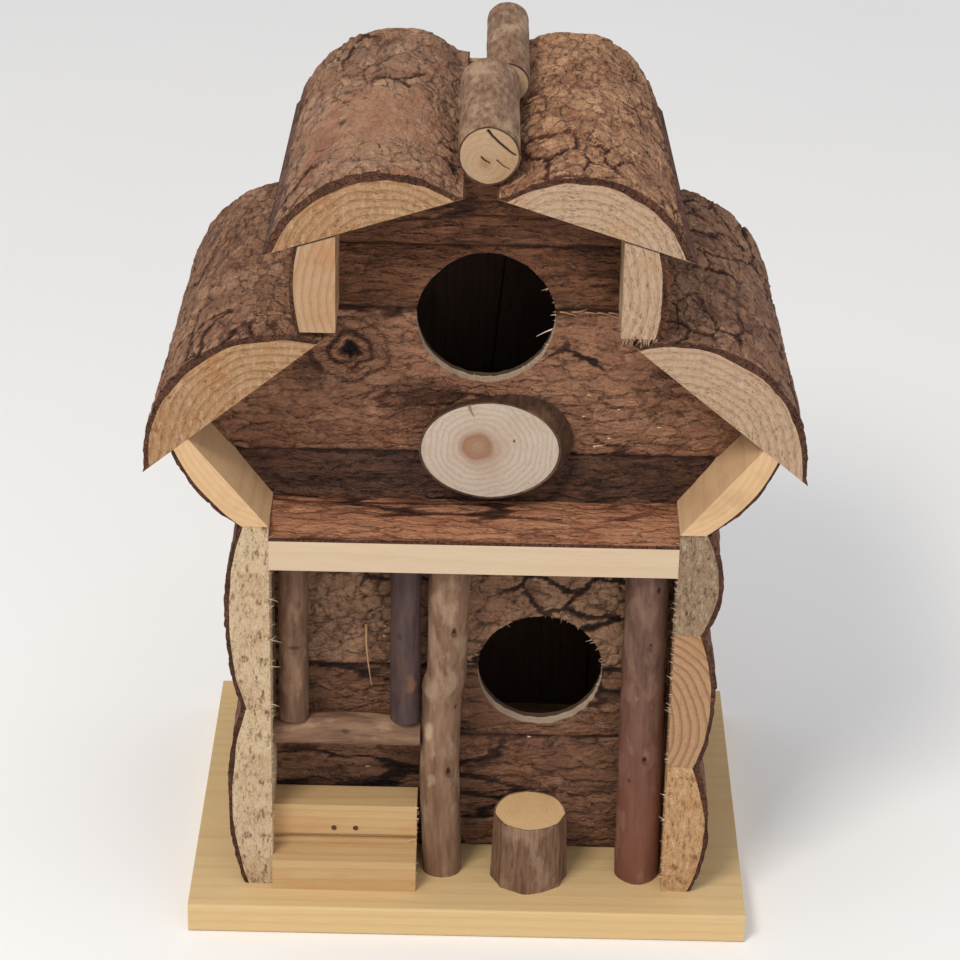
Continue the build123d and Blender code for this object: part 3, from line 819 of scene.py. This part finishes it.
def bark(name, tones, patches=0.5, grey=None, greys=0.0, grit=0.3, flake=4.2, stretch=1.8, lines=0.8):
    """Plated bark: near-black cracks and painted shade along the flakes' edges, raw flanks, flakes of many
    tones, patches and flecks.

    tones are the colours of its cracks, flanks, low and high plates, and patches."""
    crack, flank, low, high, patch = tones.split()
    shade = Shade(name)
    math, noise, ramp, mix, lay = shade.math, shade.noise, shade.ramp, shade.mix, shade.lay
    spot, relief, plate = shade.read("grain", "Vector"), shade.read("relief"), shade.read("plate")
    fine = noise(spot, (1.5, 1.5, 0.9), 4.0, 0.7)
    medium = noise(spot, (0.36, 0.36, 0.2), 3.0, 0.6)
    edge, cell = flakes(shade, spot, flake, stretch, flake)
    small_edge, small_cell = flakes(shade, spot, flake * 0.42, stretch, flake * 0.5)
    flaky = ramp(math("SUBTRACT", plate, 1.0), (0.0, 1.0), (0.7, 0.1))
    tone = math("MULTIPLY_ADD", math("MINIMUM", plate, 0.8), 0.45, math("MULTIPLY_ADD", medium, 1.1, -0.5))
    tone = math("MULTIPLY_ADD", cell, 0.45, tone)
    tone = math("MULTIPLY_ADD", small_cell, 0.3, math("SUBTRACT", tone, 0.15))
    top = lay(low, high, tone, (0.0, 0.0), (1.0, 1.0))
    top = lay(top, patch, noise(spot, 0.055), (0.5, 0.0), (0.62, patches))
    if grey is not None:
        top = lay(top, grey, noise(spot, 0.11, 4.0, 0.7), (0.48, 0.0), (0.66, greys))
    top = lay(top, flank, fine, (0.30, 0.8), (0.46, 0.0))
    top = lay(top, high, fine, (0.58, 0.0), (0.74, 0.7))
    # dark lines along the flakes' edges: cracks between flakes, and painted shade under their edges
    gate = ramp(noise(spot, 0.30, 3.0, 0.6), (0.46, 0.0), (0.60, 1.0))
    line = math("MULTIPLY", ramp(edge, (0.0, 1.0), (0.03, 0.6), (0.08, 0.0)), gate)
    few = ramp(noise(spot, 0.62, 3.0, 0.6), (0.48, 0.0), (0.64, 0.55))
    hair = math("MULTIPLY", ramp(small_edge, (0.0, 1.0), (0.08, 0.0)), few)
    lined = math("MULTIPLY", flaky, lines)
    top = mix(math("MULTIPLY", hair, lined), top, flank)
    top = mix(math("MULTIPLY", line, lined), top, crack)
    top = lay(top, patch, flaky, (0.1, 0.4), (1.0, 0.0))
    # low relief turns to flank and crack colours; it holds real cracks, and also painted shade where that was
    # laid into the relief
    level = math("MULTIPLY_ADD", math("SUBTRACT", fine, 0.5), 0.5, relief)
    flanked = lay(flank, top, level, (0.42, 0.0), (0.76, 1.0))
    base = lay(crack, flanked, level, (0.05, 0.0), (0.34, 1.0))
    raised = math("MULTIPLY_ADD", cell, 0.7, ramp(edge, (0.0, 0.0), (0.14, 1.0)))
    small = math("ADD", small_cell, ramp(small_edge, (0.0, 0.0), (0.2, 1.0)))
    return shade.finish(base, 0.85, (math("MULTIPLY", raised, flaky), grit * 2.6), (small, grit * 1.1),
                        (fine, grit))


def skin(name, tones, along=(0.35, 0.35, 0.05), grit=0.12, lights=0.5, scars=0.6, foot=None):
    """Thin branch bark: long soft streaks, pale rubbed patches and small dark scars.

    tones are its deep, base, light and scar colours. foot is the colour and height of a tint low down."""
    deep, base, light, scar = tones.split()
    shade = Shade(name)
    math, noise, lay = shade.math, shade.noise, shade.lay
    grain, relief = shade.read("grain", "Vector"), shade.read("relief")
    streak = noise(grain, along, 5.0, 0.6)
    fine = noise(grain, tuple(5 * k for k in along), 4.0, 0.65)
    patch = noise(grain, (0.10, 0.10, 0.05), 4.0, 0.6)
    tone = lay(deep, base, streak, (0.35, 0.0), (0.68, 1.0))
    if foot is not None:
        height = math("DIVIDE", shade.split(grain)[2], foot[1])
        tone = lay(tone, foot[0], height, (0.3, 0.6), (0.9, 0.0))
    tone = lay(tone, light, patch, (0.52, 0.0), (0.62, lights))
    tone = lay(tone, scar, fine, (0.62, 0.0), (0.74, scars))
    tone = lay(scar, tone, relief, (0.15, 0.0), (0.75, 1.0))
    rubbed = math("MULTIPLY_ADD", patch, 1.4, math("SUBTRACT", relief, 1.95))
    tone = lay(tone, light, rubbed, (0.0, 0.0), (0.6, 0.65))
    return shade.finish(tone, 0.7, (fine, grit), (streak, grit * 3))


def steel():
    """Dull nail steel with a skin of rust."""
    shade = Shade("nail_steel")
    shade.shader.inputs["Metallic"].default_value = 0.35
    rust = shade.noise(shade.each("MULTIPLY", shade.own(), (1 / MM,) * 3), 2.5, 4.0, 0.7)
    base = shade.lay("3e281e", "70503c", rust, (0.35, 0.0), (0.7, 1.0))
    return shade.finish(base, shade.ramp(rust, (0.3, 0.3), (0.8, 0.6)), (rust, 0.03))


PALE_END = wood("roof_end_wood", "b8946e 8c623e 704628", ring=3.0, rings=0.75, dashes=0.9, specks=0.25,
                rough_saw=0.2, stain="a26a3a", stains=0.5, tears=0.35)
PALER_END = wood("right_roof_end_wood", "bea286 987658 60422c", ring=3.1, rings=0.65, dashes=0.85,
                 specks=0.2, rough_saw=0.2, stain="b4865c", stains=0.35, tears=0.2)
LEFT_END = wood("left_wall_end_wood", "f6dab2 d6b084 784c2c", ring=3.2, rings=0.25, dashes=0.4, specks=0.35,
                rough_saw=0.5, stain="bc8252", stains=0.4, tears=0.9)
GREY_END = wood("right_upper_end_wood", "ba9c7c 967658 543a28", ring=3.2, rings=0.3, dashes=0.5,
                specks=0.45, rough_saw=0.5, stain="7c5e44", stains=0.5, tears=0.9)
RINGED_END = wood("right_middle_end_wood", "b89470 8c6240 6e482c", ring=3.1, rings=0.9, dashes=0.35,
                  specks=0.25, rough_saw=0.2, stain="aa764a", stains=0.4)
LOWER_END = wood("right_lower_end_wood", "e6b684 c48e5c 764626", ring=3.2, rings=0.3, dashes=0.4,
                 specks=0.4, rough_saw=0.5, stain="be7c46", stains=0.4, tears=0.8)
CLERESTORY = wood("clerestory_wood", "b49676 926c4a 7a4e2c", ring=2.7, rings=0.6, dashes=0.3, specks=0.2,
                  rough_saw=0.1, stain="a67042", stains=0.6)
PLANED = wood("planed_side_wood", "ceac84 b89064 96643a", rings=0.4, dashes=0.15, specks=0.1,
              rough_saw=0.04)
STRIP = wood("balcony_wood", "c6b094 baa080 a07e5a", ring=3.4, rings=0.3, dashes=0.1, specks=0.1,
             rough_saw=0.05, stain="bea484")
# painted shade: dark wood for the house's inner faces and the depths of the bored holes, where no light
# reaches
SHADED_INNER = wood("inner_face_painted_shade", "604a3c 4c382c 32241c", rings=0.4)
RIM = wood("bored_rim_wood", "d0bca4 b49a7c 78583c", rings=0.3, dashes=0.4, specks=0.4, rough_saw=0.3)
SLICE_WOOD = wood("slice_wood", "bcac9c 967e68 78583e", ring=2.1, rings=0.4, dashes=0.25, specks=0.25,
                  rough_saw=0.06, stain="a08872", stains=0.4, core=("885e42", 9.0), wobble=5.0)
STUMP_TOP = wood("stump_top_wood", "dab686 c69a68 96683e", ring=1.5, rings=0.3, dashes=0.15, specks=0.15,
                 rough_saw=0.05)
RIDGE_END = wood("ridge_end_wood", "b29678 9c7a5a 785436", ring=2.2, rings=0.3, dashes=0.35, specks=0.3,
                 stain="a07646", core=("9e7a5c", 3.0))
PINE = wood("base_pine", "d0b484 c09c68 aa7c4a", ring=3.4, rings=0.4, dashes=0.05, specks=0.05,
            rough_saw=0.03, along="X", pith=(-20.0, -70.0), stain="d0aa76")
TREAD = wood("step_pine", "c0a274 aa8254 8e623a", ring=3.2, rings=0.4, dashes=0.06, specks=0.08,
             rough_saw=0.04, along="X", pith=(-24.0, -30.0), stain="b67e4a", stains=0.5)
ROUGH_BOARD = wood("back_board_wood", "ccaa7c b0885a 7e5430", ring=3.6, rings=0.5, dashes=0.2, specks=0.4,
                   rough_saw=0.3)
# painted shade: the inner floor is dark wood, as it lies unlit inside the house
SHADED_FLOOR_BOARD = wood("inner_floor_painted_shade", "604a3c 4c382c 32241c", along="X", pith=(0.0, 120.0))
FIBRE = wood("torn_fibre", "decaac c8aa84 aa825a", rings=0.2)
THREAD = wood("bark_thread", "c49a74 a67854 785034", rings=0.2)
TUFT = wood("bark_tuft", "7c4c30 5c3622 382016", rings=0.2)
CHIP = wood("slice_chip_wood", "aa9278 967c60 7c5e44", rings=0.2)
ROOF_BARK = bark("roof_bark", "24160f 563828 7a543c b48c6c 905c42", patches=0.7, grey="78685c", greys=0.35,
                 flake=6.5)
FLAKY_BARK = bark("flaky_roof_bark", "1e110c 623a28 84583c c69872 8a563a", patches=0.4, grey="7a6452",
                  greys=0.2, flake=6.0)
EAVE_BARK = bark("eave_bark", "1c100b 523223 724c36 ac8262 784a34", patches=0.45, grey="6c5848", greys=0.3,
                 flake=6.0)
BARK_BAND = bark("bark_end_band", "24150f 40271c 4e3022 6c4631 3e251b", flake=2.6, stretch=1.0, lines=0.4)
SIDE_BARK = bark("side_bark", "1c0d09 4a281c 643c2c 96684e 6a3a2a", patches=0.5, grey="6c5648", greys=0.3,
                 flake=5.0)
RED_BARK = bark("balcony_bark", "2a170f 623a28 8a5a40 b68260 985f42", grit=0.2, flake=3.8, stretch=6.0,
                lines=0.6)
RIDGE_SKIN = skin("ridge_bark", "684832 9e7c5e c2a484 4a2e1e", along=(0.45, 0.45, 0.16), grit=0.4,
                  scars=0.9)
RED_SKIN = skin("right_post_bark", "4e362d 6c5042 a8846c 38221b", lights=0.2, foot=("764634", 130.0))
GREY_SKIN = skin("middle_post_bark", "624836 866750 c2a88a 422b1f", lights=0.25)
LEFT_SKIN = skin("left_stick_bark", "50382c 705340 96765c 34231c", lights=0.35)
PURPLE_SKIN = skin("right_stick_bark", "3a2b2a 503d3a 885c40 2a1e1d", lights=0.1)
RAIL_SKIN = skin("rail_bark", "604636 8c6b52 ac8c6e 462f26", lights=0.4)
STUMP_SKIN = skin("stump_bark", "5c4232 84644e a4866e 38241c", along=(0.7, 0.7, 0.08), grit=0.3, scars=0.9)
SLICE_SKIN = skin("slice_bark", "3a281e 583e2e 7a5c46 241712", grit=0.3)
WALL_BARKS = {
    name: bark(f"{name}_wall_bark", "180e0a " + tones, patches=0.55, grey=veil, greys=0.35, grit=0.32,
               flake=flake, stretch=stretch, lines=0.6)
    for name, tones, veil, flake, stretch in (
        ("gable", "3e2417 583623 82573d 643c26", "4c342c", 4.0, 5.0),
        ("knotty", "462a1d 6c4631 a2765a 8a5c43", "624a42", 5.5, 2.4),
        ("dark", "2a1a12 3e271c 6a4835 402922", "382826", 4.5, 5.0),
        ("jigsaw", "462e21 7a5842 a68063 866048", "785f52", 8.0, 1.3),
        ("low", "3a2419 5e3e2c 8e664c 684431", "564039", 6.0, 3.6))}
NAIL = steel()


# -------- the house

def dress(material, slot, *names):
    """A CAD node whose shape is right keeps its mesh and takes this material."""
    for name in names:
        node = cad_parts[name]
        for place in node.material_slots:
            place.material = material


def roofs():
    slab("left_upper_roof_slab", 4.3, (17, 26), 3.6, 11, PALE_END, ROOF_BARK, taper=0.04, gape=-0.2,
         calm=(52, 52, 34), valley=0.0)
    slab("right_upper_roof_slab", 4.3, (15, 21), 3.8, 23, PALER_END, FLAKY_BARK, taper=0.08, gape=0.2,
         valley=1.0)
    slab("left_lower_roof_slab", 3.5, (15, 24), 3.2, 37, PALE_END, EAVE_BARK, taper=0.03, gape=0.2)
    slab("right_lower_roof_slab", 3.5, (15, 22), 3.2, 41, PALER_END, EAVE_BARK, taper=0.03, gape=0.2)


def sides():
    for name, end, seed, middle in (
            ("left_wall_lower", LEFT_END, 51, None), ("left_wall_upper", LEFT_END, 52, None),
            ("right_wall_lower", LOWER_END, 53, None), ("right_wall_middle", RINGED_END, 54, RING_MIDDLE),
            ("right_wall_upper", GREY_END, 55, None)):
        slab(f"{name}_slab", 2.6, (16, 26), 2.4, seed, end, SIDE_BARK, SIDE_FINE, middle=middle, saw=0.9)
    for name, seed in (("left_flare_slab", 61), ("right_flare_slab", 62)):
        slab(name, 2.2, (14, 22), 2.0, seed, PLANED, SIDE_BARK, SIDE_FINE)
    slab("left_clerestory_board", 1.9, (12, 20), 1.0, 63, CLERESTORY, SIDE_BARK, SIDE_FINE, joint=True)
    slab("right_clerestory_board", 2.8, (12, 20), 2.4, 64, PALER_END, SIDE_BARK, SIDE_FINE, saw=0.6,
         joint=True)


# Places darkened as painted shade on the front wall, by board number: x, z, half wide and half tall.
SHADE_SPOTS = {1: ((-48.0, 40.0, 30.0, 10.0),), 2: ((-6.0, 66.0, 8.0, 8.0),), 3: ((60.0, 150.0, 14.0, 8.0),),
              5: ((-22.0, 205.0, 20.0, 14.0), (-62.0, 218.0, 8.0, 9.0))}


def front_wall():
    for number, (look, size, knots, gape) in enumerate((
            ("low", (13, 50), (), -0.35), ("low", (12, 44), (), -0.35), ("jigsaw", (13, 21), (), 0.1),
            ("dark", (9, 50), (), -0.35), ("knotty", (15, 30), (KNOT,), -0.35), ("gable", (9, 55), (), -0.35),
            ("gable", (9, 55), (), -0.35)), 1):
        wall_board(f"front_wall_board_{number}", (SHADED_INNER, BARK_BAND, WALL_BARKS[look], RIM), size,
                   70 + 9 * number, knots, gape, SHADE_SPOTS.get(number, ()))


def even(first, last, seed, bumps, cells):
    """A radius that tapers from first to last, with the small bumps of a branch."""
    def radius(turn, share):
        spot = rows(np.cos(turn) * 1.2, np.sin(turn) * 1.2, share * cells)
        return (first + share * (last - first)) * (1 - bumps * worn(spot, seed))
    return radius


# Marks on the branches, in the form that scarred() takes.
POST_MARKS = {
    "middle_post": ((-17.0, 95.7, 3.0, 5.0, 1.05, 1.0), (-15.6, 77.0, 2.4, 5.2, 1.7, 0.0),
                    (-13.6, 68.0, 1.4, 2.6, 1.5, 0.0), (-14.6, 56.0, 2.2, 4.4, 1.6, 0.2),
                    (-12.0, 50.0, 1.2, 2.2, 1.4, 0.0), (-6.5, 121.2, 0.9, 2.2, 0.0, -0.7),
                    (-7.8, 60.0, 1.0, 2.0, 0.0, -0.7), (-9.0, 34.0, 4.0, 4.0, 0.8, -0.3),
                    (-5.6, 88.0, 1.0, 1.4, 0.2, -0.4)),
    "right_post": ((67.3, 115.9, 3.4, 7.0, 1.25, 0.5), (67.3, 115.9, 2.3, 5.2, 0.75, 0.3),
                   (66.2, 118.6, 0.9, 1.2, 0.0, -0.6), (66.1, 78.9, 3.0, 5.8, 1.25, 0.5),
                   (66.1, 78.9, 1.9, 4.2, 0.7, 0.3), (68.6, 140.8, 1.1, 1.8, 0.1, -0.5),
                   (66.0, 68.4, 1.1, 1.5, 0.0, -0.6), (62.6, 95.0, 1.6, 1.8, 1.3, 0.0),
                   (64.0, 146.0, 2.0, 1.2, 1.4, 0.0), (60.5, 58.0, 1.0, 1.4, 0.3, -0.3)),
    "left_window_stick": ((-66.0, 112.0, 3.6, 1.1, 0.3, -0.5), (-64.6, 98.0, 1.5, 9.0, 1.3, 0.0),
                          (-64.0, 130.0, 1.2, 2.4, 0.5, -0.3)),
    "right_window_stick": ((-22.6, 97.0, 2.6, 4.0, 1.45, 0.6), (-27.0, 118.0, 1.2, 2.0, 0.4, 0.0),
                           (-28.6, 104.0, 1.4, 5.0, 1.15, 0.0)),
}
RAIL_MARKS = ((-47.0, 76.0, 2.0, 1.4, 0.2, -0.5), (-36.0, 73.5, 1.8, 1.2, 1.5, 0.0))


def kinked(share):
    """The middle post leans left below its kink, and back towards its foot."""
    return rows(-1.6 * smooth(share, 0.64, 0.56) * smooth(share, 0.0, 0.35), 0 * share, 0)


def branches():
    for name, bark_skin, slot, seed, bow in (
            ("middle_post", GREY_SKIN, "grey_branch", 3, kinked),
            ("right_post", RED_SKIN, "red_branch", 5, None),
            ("left_window_stick", LEFT_SKIN, "grey_branch", 7, None),
            ("right_window_stick", PURPLE_SKIN, "grey_branch", 9, None)):
        points = cad(name)
        ends = [points[np.abs(points[:, 2] - z) < 0.01] for z in (points[:, 2].min(), points[:, 2].max())]
        start, end = ((ring.min(0) + ring.max(0)) / 2 for ring in ends)
        first, last = (np.ptp(ring[:, 0]) / 2 for ring in ends)
        pole(name, start, end, even(first, last, seed, 0.13, 7.0), (PALE_END, bark_skin, bark_skin), slot,
             90, 200, marks=POST_MARKS[name], bow=bow, seed=seed)


# Cracks over the front ridge log's end: from, to, sag and width.
CRACKS = (((-0.6, 9.5), (9.4, 0.2), 0.7, 0.42), ((-2.8, -0.5), (0.5, -2.9), 0.3, 0.26),
          ((2.6, -1.4), (7.3, -5.0), 0.2, 0.2))


def ridge_logs():
    for name, splits in (("front_ridge_log", CRACKS), ("rear_ridge_log", ())):
        start, end, half = through(name)
        pole(name, start, end, even(half[2], half[2], 21, 0.09, 5.0), (RIDGE_END, SLICE_SKIN, RIDGE_SKIN),
             "ridge_log", 160, 100, rim=0.7, cap_rows=36, splits=splits, pith=(-3.0, -1.0), seed=21)


def stump():
    start, end, half = through("stump_seat", 2)

    def faceted(turn, share):
        """A stump with flat shaved sides and cracks that run up its bark."""
        bent = turn + 0.16 * np.sin(3 * turn + 1.0)
        facet = np.cos((bent * 8 / (2 * np.pi) % 1 - 0.5) * 2 * np.pi / 8) ** -1
        facet = 1 + (facet - 1.08) * (0.7 - 0.35 * share)
        groove = worn(rows(np.cos(turn) * 5, np.sin(turn) * 5, share * 0.5), 33)
        return (half[0] - 1.0 * share) * np.minimum(facet, 1.0) * (0.995 - 0.03 * groove)
    pole("stump_seat", start, end, faceted, (STUMP_TOP, STUMP_SKIN, STUMP_SKIN), "stump", 160, 50, rim=0.7,
         seed=31)


def slice_of_branch():
    start, end, half = through("perch_slice")

    def oval(turn, share):
        """An ellipse whose bark spreads to the right towards the wall, and draws in at the top."""
        edge = 1 / np.sqrt((np.cos(turn) / half[2]) ** 2 + (np.sin(turn) / half[0]) ** 2)
        spread = SLICE_SPREAD * share * np.clip(np.cos(turn - 1.5), 0, 1) ** 1.2
        spread = spread - SLICE_TUCK * share * np.clip(np.cos(turn + 0.5), 0, 1)
        return edge * (1 - 0.025 * (0.5 + 0.5 * noise(rows(np.cos(turn), np.sin(turn)) * 1.5, 8))) + spread
    pole("perch_slice", start, end, oval, (SLICE_WOOD, SLICE_SKIN, SLICE_SKIN), "branch_slice", 180, 16,
         rim=0.7, cap_rows=26, pith=(1.0, -4.0), seed=41)
    for name, right, up, way, long, thick, material, seed in (
            ("slice_chip", -7.9, 18.2, (0.25, 0, -1), 4.6, 1.1, CHIP, 1),
            ("slice_fleck", 8.6, 3.8, (0.3, 0, 1), 0.9, 0.5, SLICE_SKIN, 2)):
        root = start + (right, 0, up)
        hairs(name, [(root, way, long, thick)], material, "branch_slice", seed)


def rail():
    low, high = box("window_rail")
    points = cad("window_rail")
    left, right = (points[np.abs(points[:, 0] - x) < 0.01][:, 2].max() for x in (low[0], high[0]))
    bottom, deep, middle = low[2], (high[1] - low[1]) / 2, (low[1] + high[1]) / 2

    def half(share):
        """Half the bowed branch's height."""
        ends = left + share * (right - left)
        return (ends + (high[2] - (left + right) / 2) * 4 * share * (1 - share) - bottom) / 2

    def shape(turn, share):
        """A soft rounded square, as tall as the bowed branch."""
        tall = half(share)
        edge = ((np.abs(np.cos(turn)) / tall) ** 2.6 + (np.abs(np.sin(turn)) / deep) ** 2.6) ** (-1 / 2.6)
        return edge * (1 - 0.10 * worn(rows(np.cos(turn), np.sin(turn), share * 6), 61))

    def bow(share):
        line = half(0.0) + share * (half(1.0) - half(0.0))
        return rows(0, 0 * share, half(share) - line)
    pole("window_rail", (low[0], middle, bottom + half(0.0)), (high[0], middle, bottom + half(1.0)), shape,
         (PALE_END, RAIL_SKIN, RAIL_SKIN), "grey_branch", 80, 90, marks=RAIL_MARKS, bow=bow, seed=61)


def nail_heads():
    """Small domed nail heads in the posts and the riser, rusted dark."""
    for node in ("post_brads", "step_brads"):
        left = cad(node)
        number = 0
        while len(left):
            number += 1
            near = np.hypot(*(left - left[0])[:, [0, 2]].T) < 3.0
            low, high = left[near].min(0), left[near].max(0)
            left = left[~near]
            head, long, middle = (high[0] - low[0]) / 2, high[1] - low[1], (low + high) / 2

            def profile(turn, share, head=head, long=long):
                return np.where(share * long < 0.8, 0.9 * head, 0.6 * head)
            pole(node, (middle[0], low[1] - 0.3, middle[2]), (middle[0], high[1], middle[2]), profile,
                 (NAIL, NAIL, NAIL), "steel", 20, 24, rim=0.2, cap_rows=4, saw=0.05, seed=number,
                 name=f"{node[:-1]}_{number}")


def scatter(count, seed):
    """Rows of three repeatable random numbers from 0 to 1."""
    numbers = rows(np.arange(count), seed)
    return rows(*[hashed(numbers, seed + k) for k in range(3)])


def edge_fibres():
    """Fuzz that the saw left along the inner edges of the side walls' front ends."""
    for label, side, count in (("left", -1, 70), ("right", 1, 90)):
        strands = [((side * INNER_HALF, FRONT + 0.4 + b, 14 + 150 * a),
                    (-side, -0.5 + b * 0.6, c * 1.6 - 0.8), 0.6 + 2.4 * c ** 3, 0.08 + 0.10 * b)
                   for a, b, c in scatter(count, 5 + side)]
        if side < 0:
            strands += [((-INNER_HALF, FRONT + 0.6, z), (1, -0.1, -0.1), 3.8, 0.20)
                        for z in (137.3, 120.2, 108.8, 92.5)]
        hairs(f"{label}_wall_fibres", strands, FIBRE, "side_slab", 3)


# Pale chips on the front wall's bark: x, z and length.
CHIPS = ((38.3, 201.8, 1.3), (51.2, 204.8, 0.9), (65.9, 197.9, 1.8), (42.8, 189.6, 3.2), (-33.8, 107.9, 1.4),
         (48.0, 193.0, 1.0), (40.0, 210.5, 2.2), (-33.0, 112.0, 0.9), (22.0, 64.5, 1.4), (-40.0, 49.5, 1.6))


def wall_fibres():
    """Torn fibres round the bored entrances, a hanging bark thread, and pale chips on the bark."""
    face = FRONT + WALL_FACE
    upper = [((26.6, face + 2.6, 235.4), (-1.0, -0.2, -0.28), 5.2, 0.30),
             ((25.6, face + 2.6, 250.5), (-0.6, -0.2, 0.6), 1.6, 0.45)]
    for number, (x, z, radius), first, extra in ((1, HOLES[0], -2.6, upper), (2, HOLES[1], -1.2, [])):
        strands = []
        for a, b, c in scatter(46, 20 + number):
            right, up = np.cos(first + 3.4 * a), np.sin(first + 3.4 * a)
            root = (x + radius * right, face + 2.2 + 2 * b, z + radius * up)
            way = (-right + 0.8 * (b - 0.5), -0.5, -up + 0.8 * (c - 0.5))
            strands.append((root, way, 0.7 + 1.7 * c ** 2, 0.09 + 0.12 * c))
        hairs(f"entrance_{number}_fibres", strands + extra, FIBRE, "front_wall", 7)
    thread = ((-39.9, face - 0.5, 113.2), (-0.02, -0.05, -1), 24.0, 0.7)
    hairs("bark_thread", [thread], THREAD, "front_wall", 2)
    slivers = [((x, face + 2.4, 242.2), (1, 0, 0), 5.6, 0.34) for x in (29.0, 33.5, 38.0, 42.5, 46.5)]
    hairs("seam_slivers", slivers, THREAD, "front_wall", 6)
    chips = [((x, face + 0.3, z), (1, -0.15, 0.25 if n % 2 else -0.1), long, 0.42)
             for n, (x, z, long) in enumerate(CHIPS)]
    hairs("wall_chips", chips, FIBRE, "front_wall", 4)


def splinters():
    """Broken fibres under the right clerestory board, tufts of its bark, and splinters of the steps."""
    foot = box("right_clerestory_board")[0][2]
    broken = [((51 + 13 * a, FRONT + 0.3 + 2 * b, foot + 0.8), (0.5 * (c - 0.5), -0.35, -1), 1.4 + 2.6 * b,
               0.4 + 0.5 * c) for a, b, c in scatter(26, 60)]
    hairs("clerestory_splinters", broken, PALER_END, "side_slab", 9)
    luck = scatter(60, 65)
    edge, out = Section("right_clerestory_board").bark_at(0.06 + 0.88 * luck[:, 0])
    tufts = [((x - 1.6 * b, FRONT + 0.6, z), (right, -0.5 - b, up - 0.9 * c), 0.8 + 1.6 * b * c,
              0.25 + 0.3 * c) for (x, z), (right, up), (_, b, c) in zip(edge, out, luck)]
    hairs("clerestory_bark_tufts", tufts, TUFT, "side_slab", 12)
    low, high = box("lower_step")
    right, near, top = high[0] - 0.2, low[1], box("upper_step")[1][2]
    frayed = [((right, near + 0.3 + 11.5 * (a > 0.5) + 0.6 * b, 13 + (11 if a < 0.5 else 29) * b),
               (1, -0.6 + b, c - 0.5), 0.4 + 1.2 * b ** 3, 0.08 + 0.14 * c) for a, b, c in scatter(36, 70)]
    frayed += [((right - 3.0, near - 0.1 + 11.9, 27.0), (1, -0.35, 0.8), 3.4, 0.45),
               ((right - 1.6, near - 0.1, 15.5), (0.6, -0.3, 1), 2.6, 0.4),
               ((right - 0.4, near + 12, top), (1, -0.3, -0.6), 2.0, 0.35)]
    hairs("step_splinters", frayed, FIBRE, "planed_pine", 11)


# -------- studio

def camera():
    lens = bpy.data.cameras.new("camera")
    lens.lens = LENS
    lens.sensor_width = 36.0
    lens.clip_end = 20.0
    eye = placed("camera", lens)
    back = Vector(CAMERA_BACK).normalized()
    eye.location = (Vector(AIM) + back * CAMERA_FAR) * MM
    facing = (-back).to_track_quat("-Z", "Y").to_matrix().to_4x4()
    roll = Matrix.Rotation(np.radians(CAMERA_ROLL), 4, "Z")
    eye.rotation_euler = (facing @ roll).to_euler()
    bpy.context.scene.camera = eye


def lamp(name, place, size, power, tint):
    """A square lamp, in metres, that points at the middle of the house."""
    light = bpy.data.lights.new(name, "AREA")
    light.shape = "SQUARE"
    light.size = size
    light.energy = power
    light.color = tint
    made = placed(name, light)
    made.location = place
    made.rotation_euler = (Vector((0, 0, 0.15)) - Vector(place)).to_track_quat("-Z", "Y").to_euler()


def studio():
    mesh = bpy.data.meshes.new("floor")
    mesh.from_pydata([(-3, -3, 0), (3, -3, 0), (3, 3, 0), (-3, 3, 0)], [], [(0, 1, 2, 3)])
    shade = Shade("floor_paper")
    tint = shade.mix(shade.noise(shade.own(), 3.0), "eceae6", "f2f0ec")
    mesh.materials.append(shade.finish(tint, 0.9, (shade.noise(shade.own(), 400.0), 0.02)))
    placed("floor", mesh)
    world = bpy.data.worlds.new("soft_room")
    world.use_nodes = True
    sky = world.node_tree.nodes["Background"].inputs
    sky["Color"].default_value = (0.93, 0.95, 1.0, 1)
    sky["Strength"].default_value = 0.75
    bpy.context.scene.world = world
    lamp("key", (-0.55, -0.95, 1.45), 0.5, 16.0, (1.0, 0.96, 0.90))
    lamp("fill", (0.5, -1.4, 0.45), 1.0, 4.0, (0.96, 0.97, 1.0))
    bpy.context.scene.view_settings.view_transform = "Standard"


camera()
studio()
roofs()
sides()
front_wall()
ledge("balcony_slab", (STRIP, BARK_BAND, RED_BARK), "balcony", 91)
branches()
ridge_logs()
stump()
slice_of_branch()
rail()
nail_heads()
edge_fibres()
wall_fibres()
splinters()
for number in range(1, 5):
    upright_board(f"back_wall_board_{number}", (ROUGH_BOARD, SHADED_INNER), 80 + number)
dress(PINE, "planed_pine", "base_plank")
dress(TREAD, "planed_pine", "lower_step", "upper_step")
dress(SHADED_FLOOR_BOARD, "back_board", "inner_floor")
dress(NAIL, "steel", "balcony_brads", "roof_brads", "wall_brads", "base_screws")
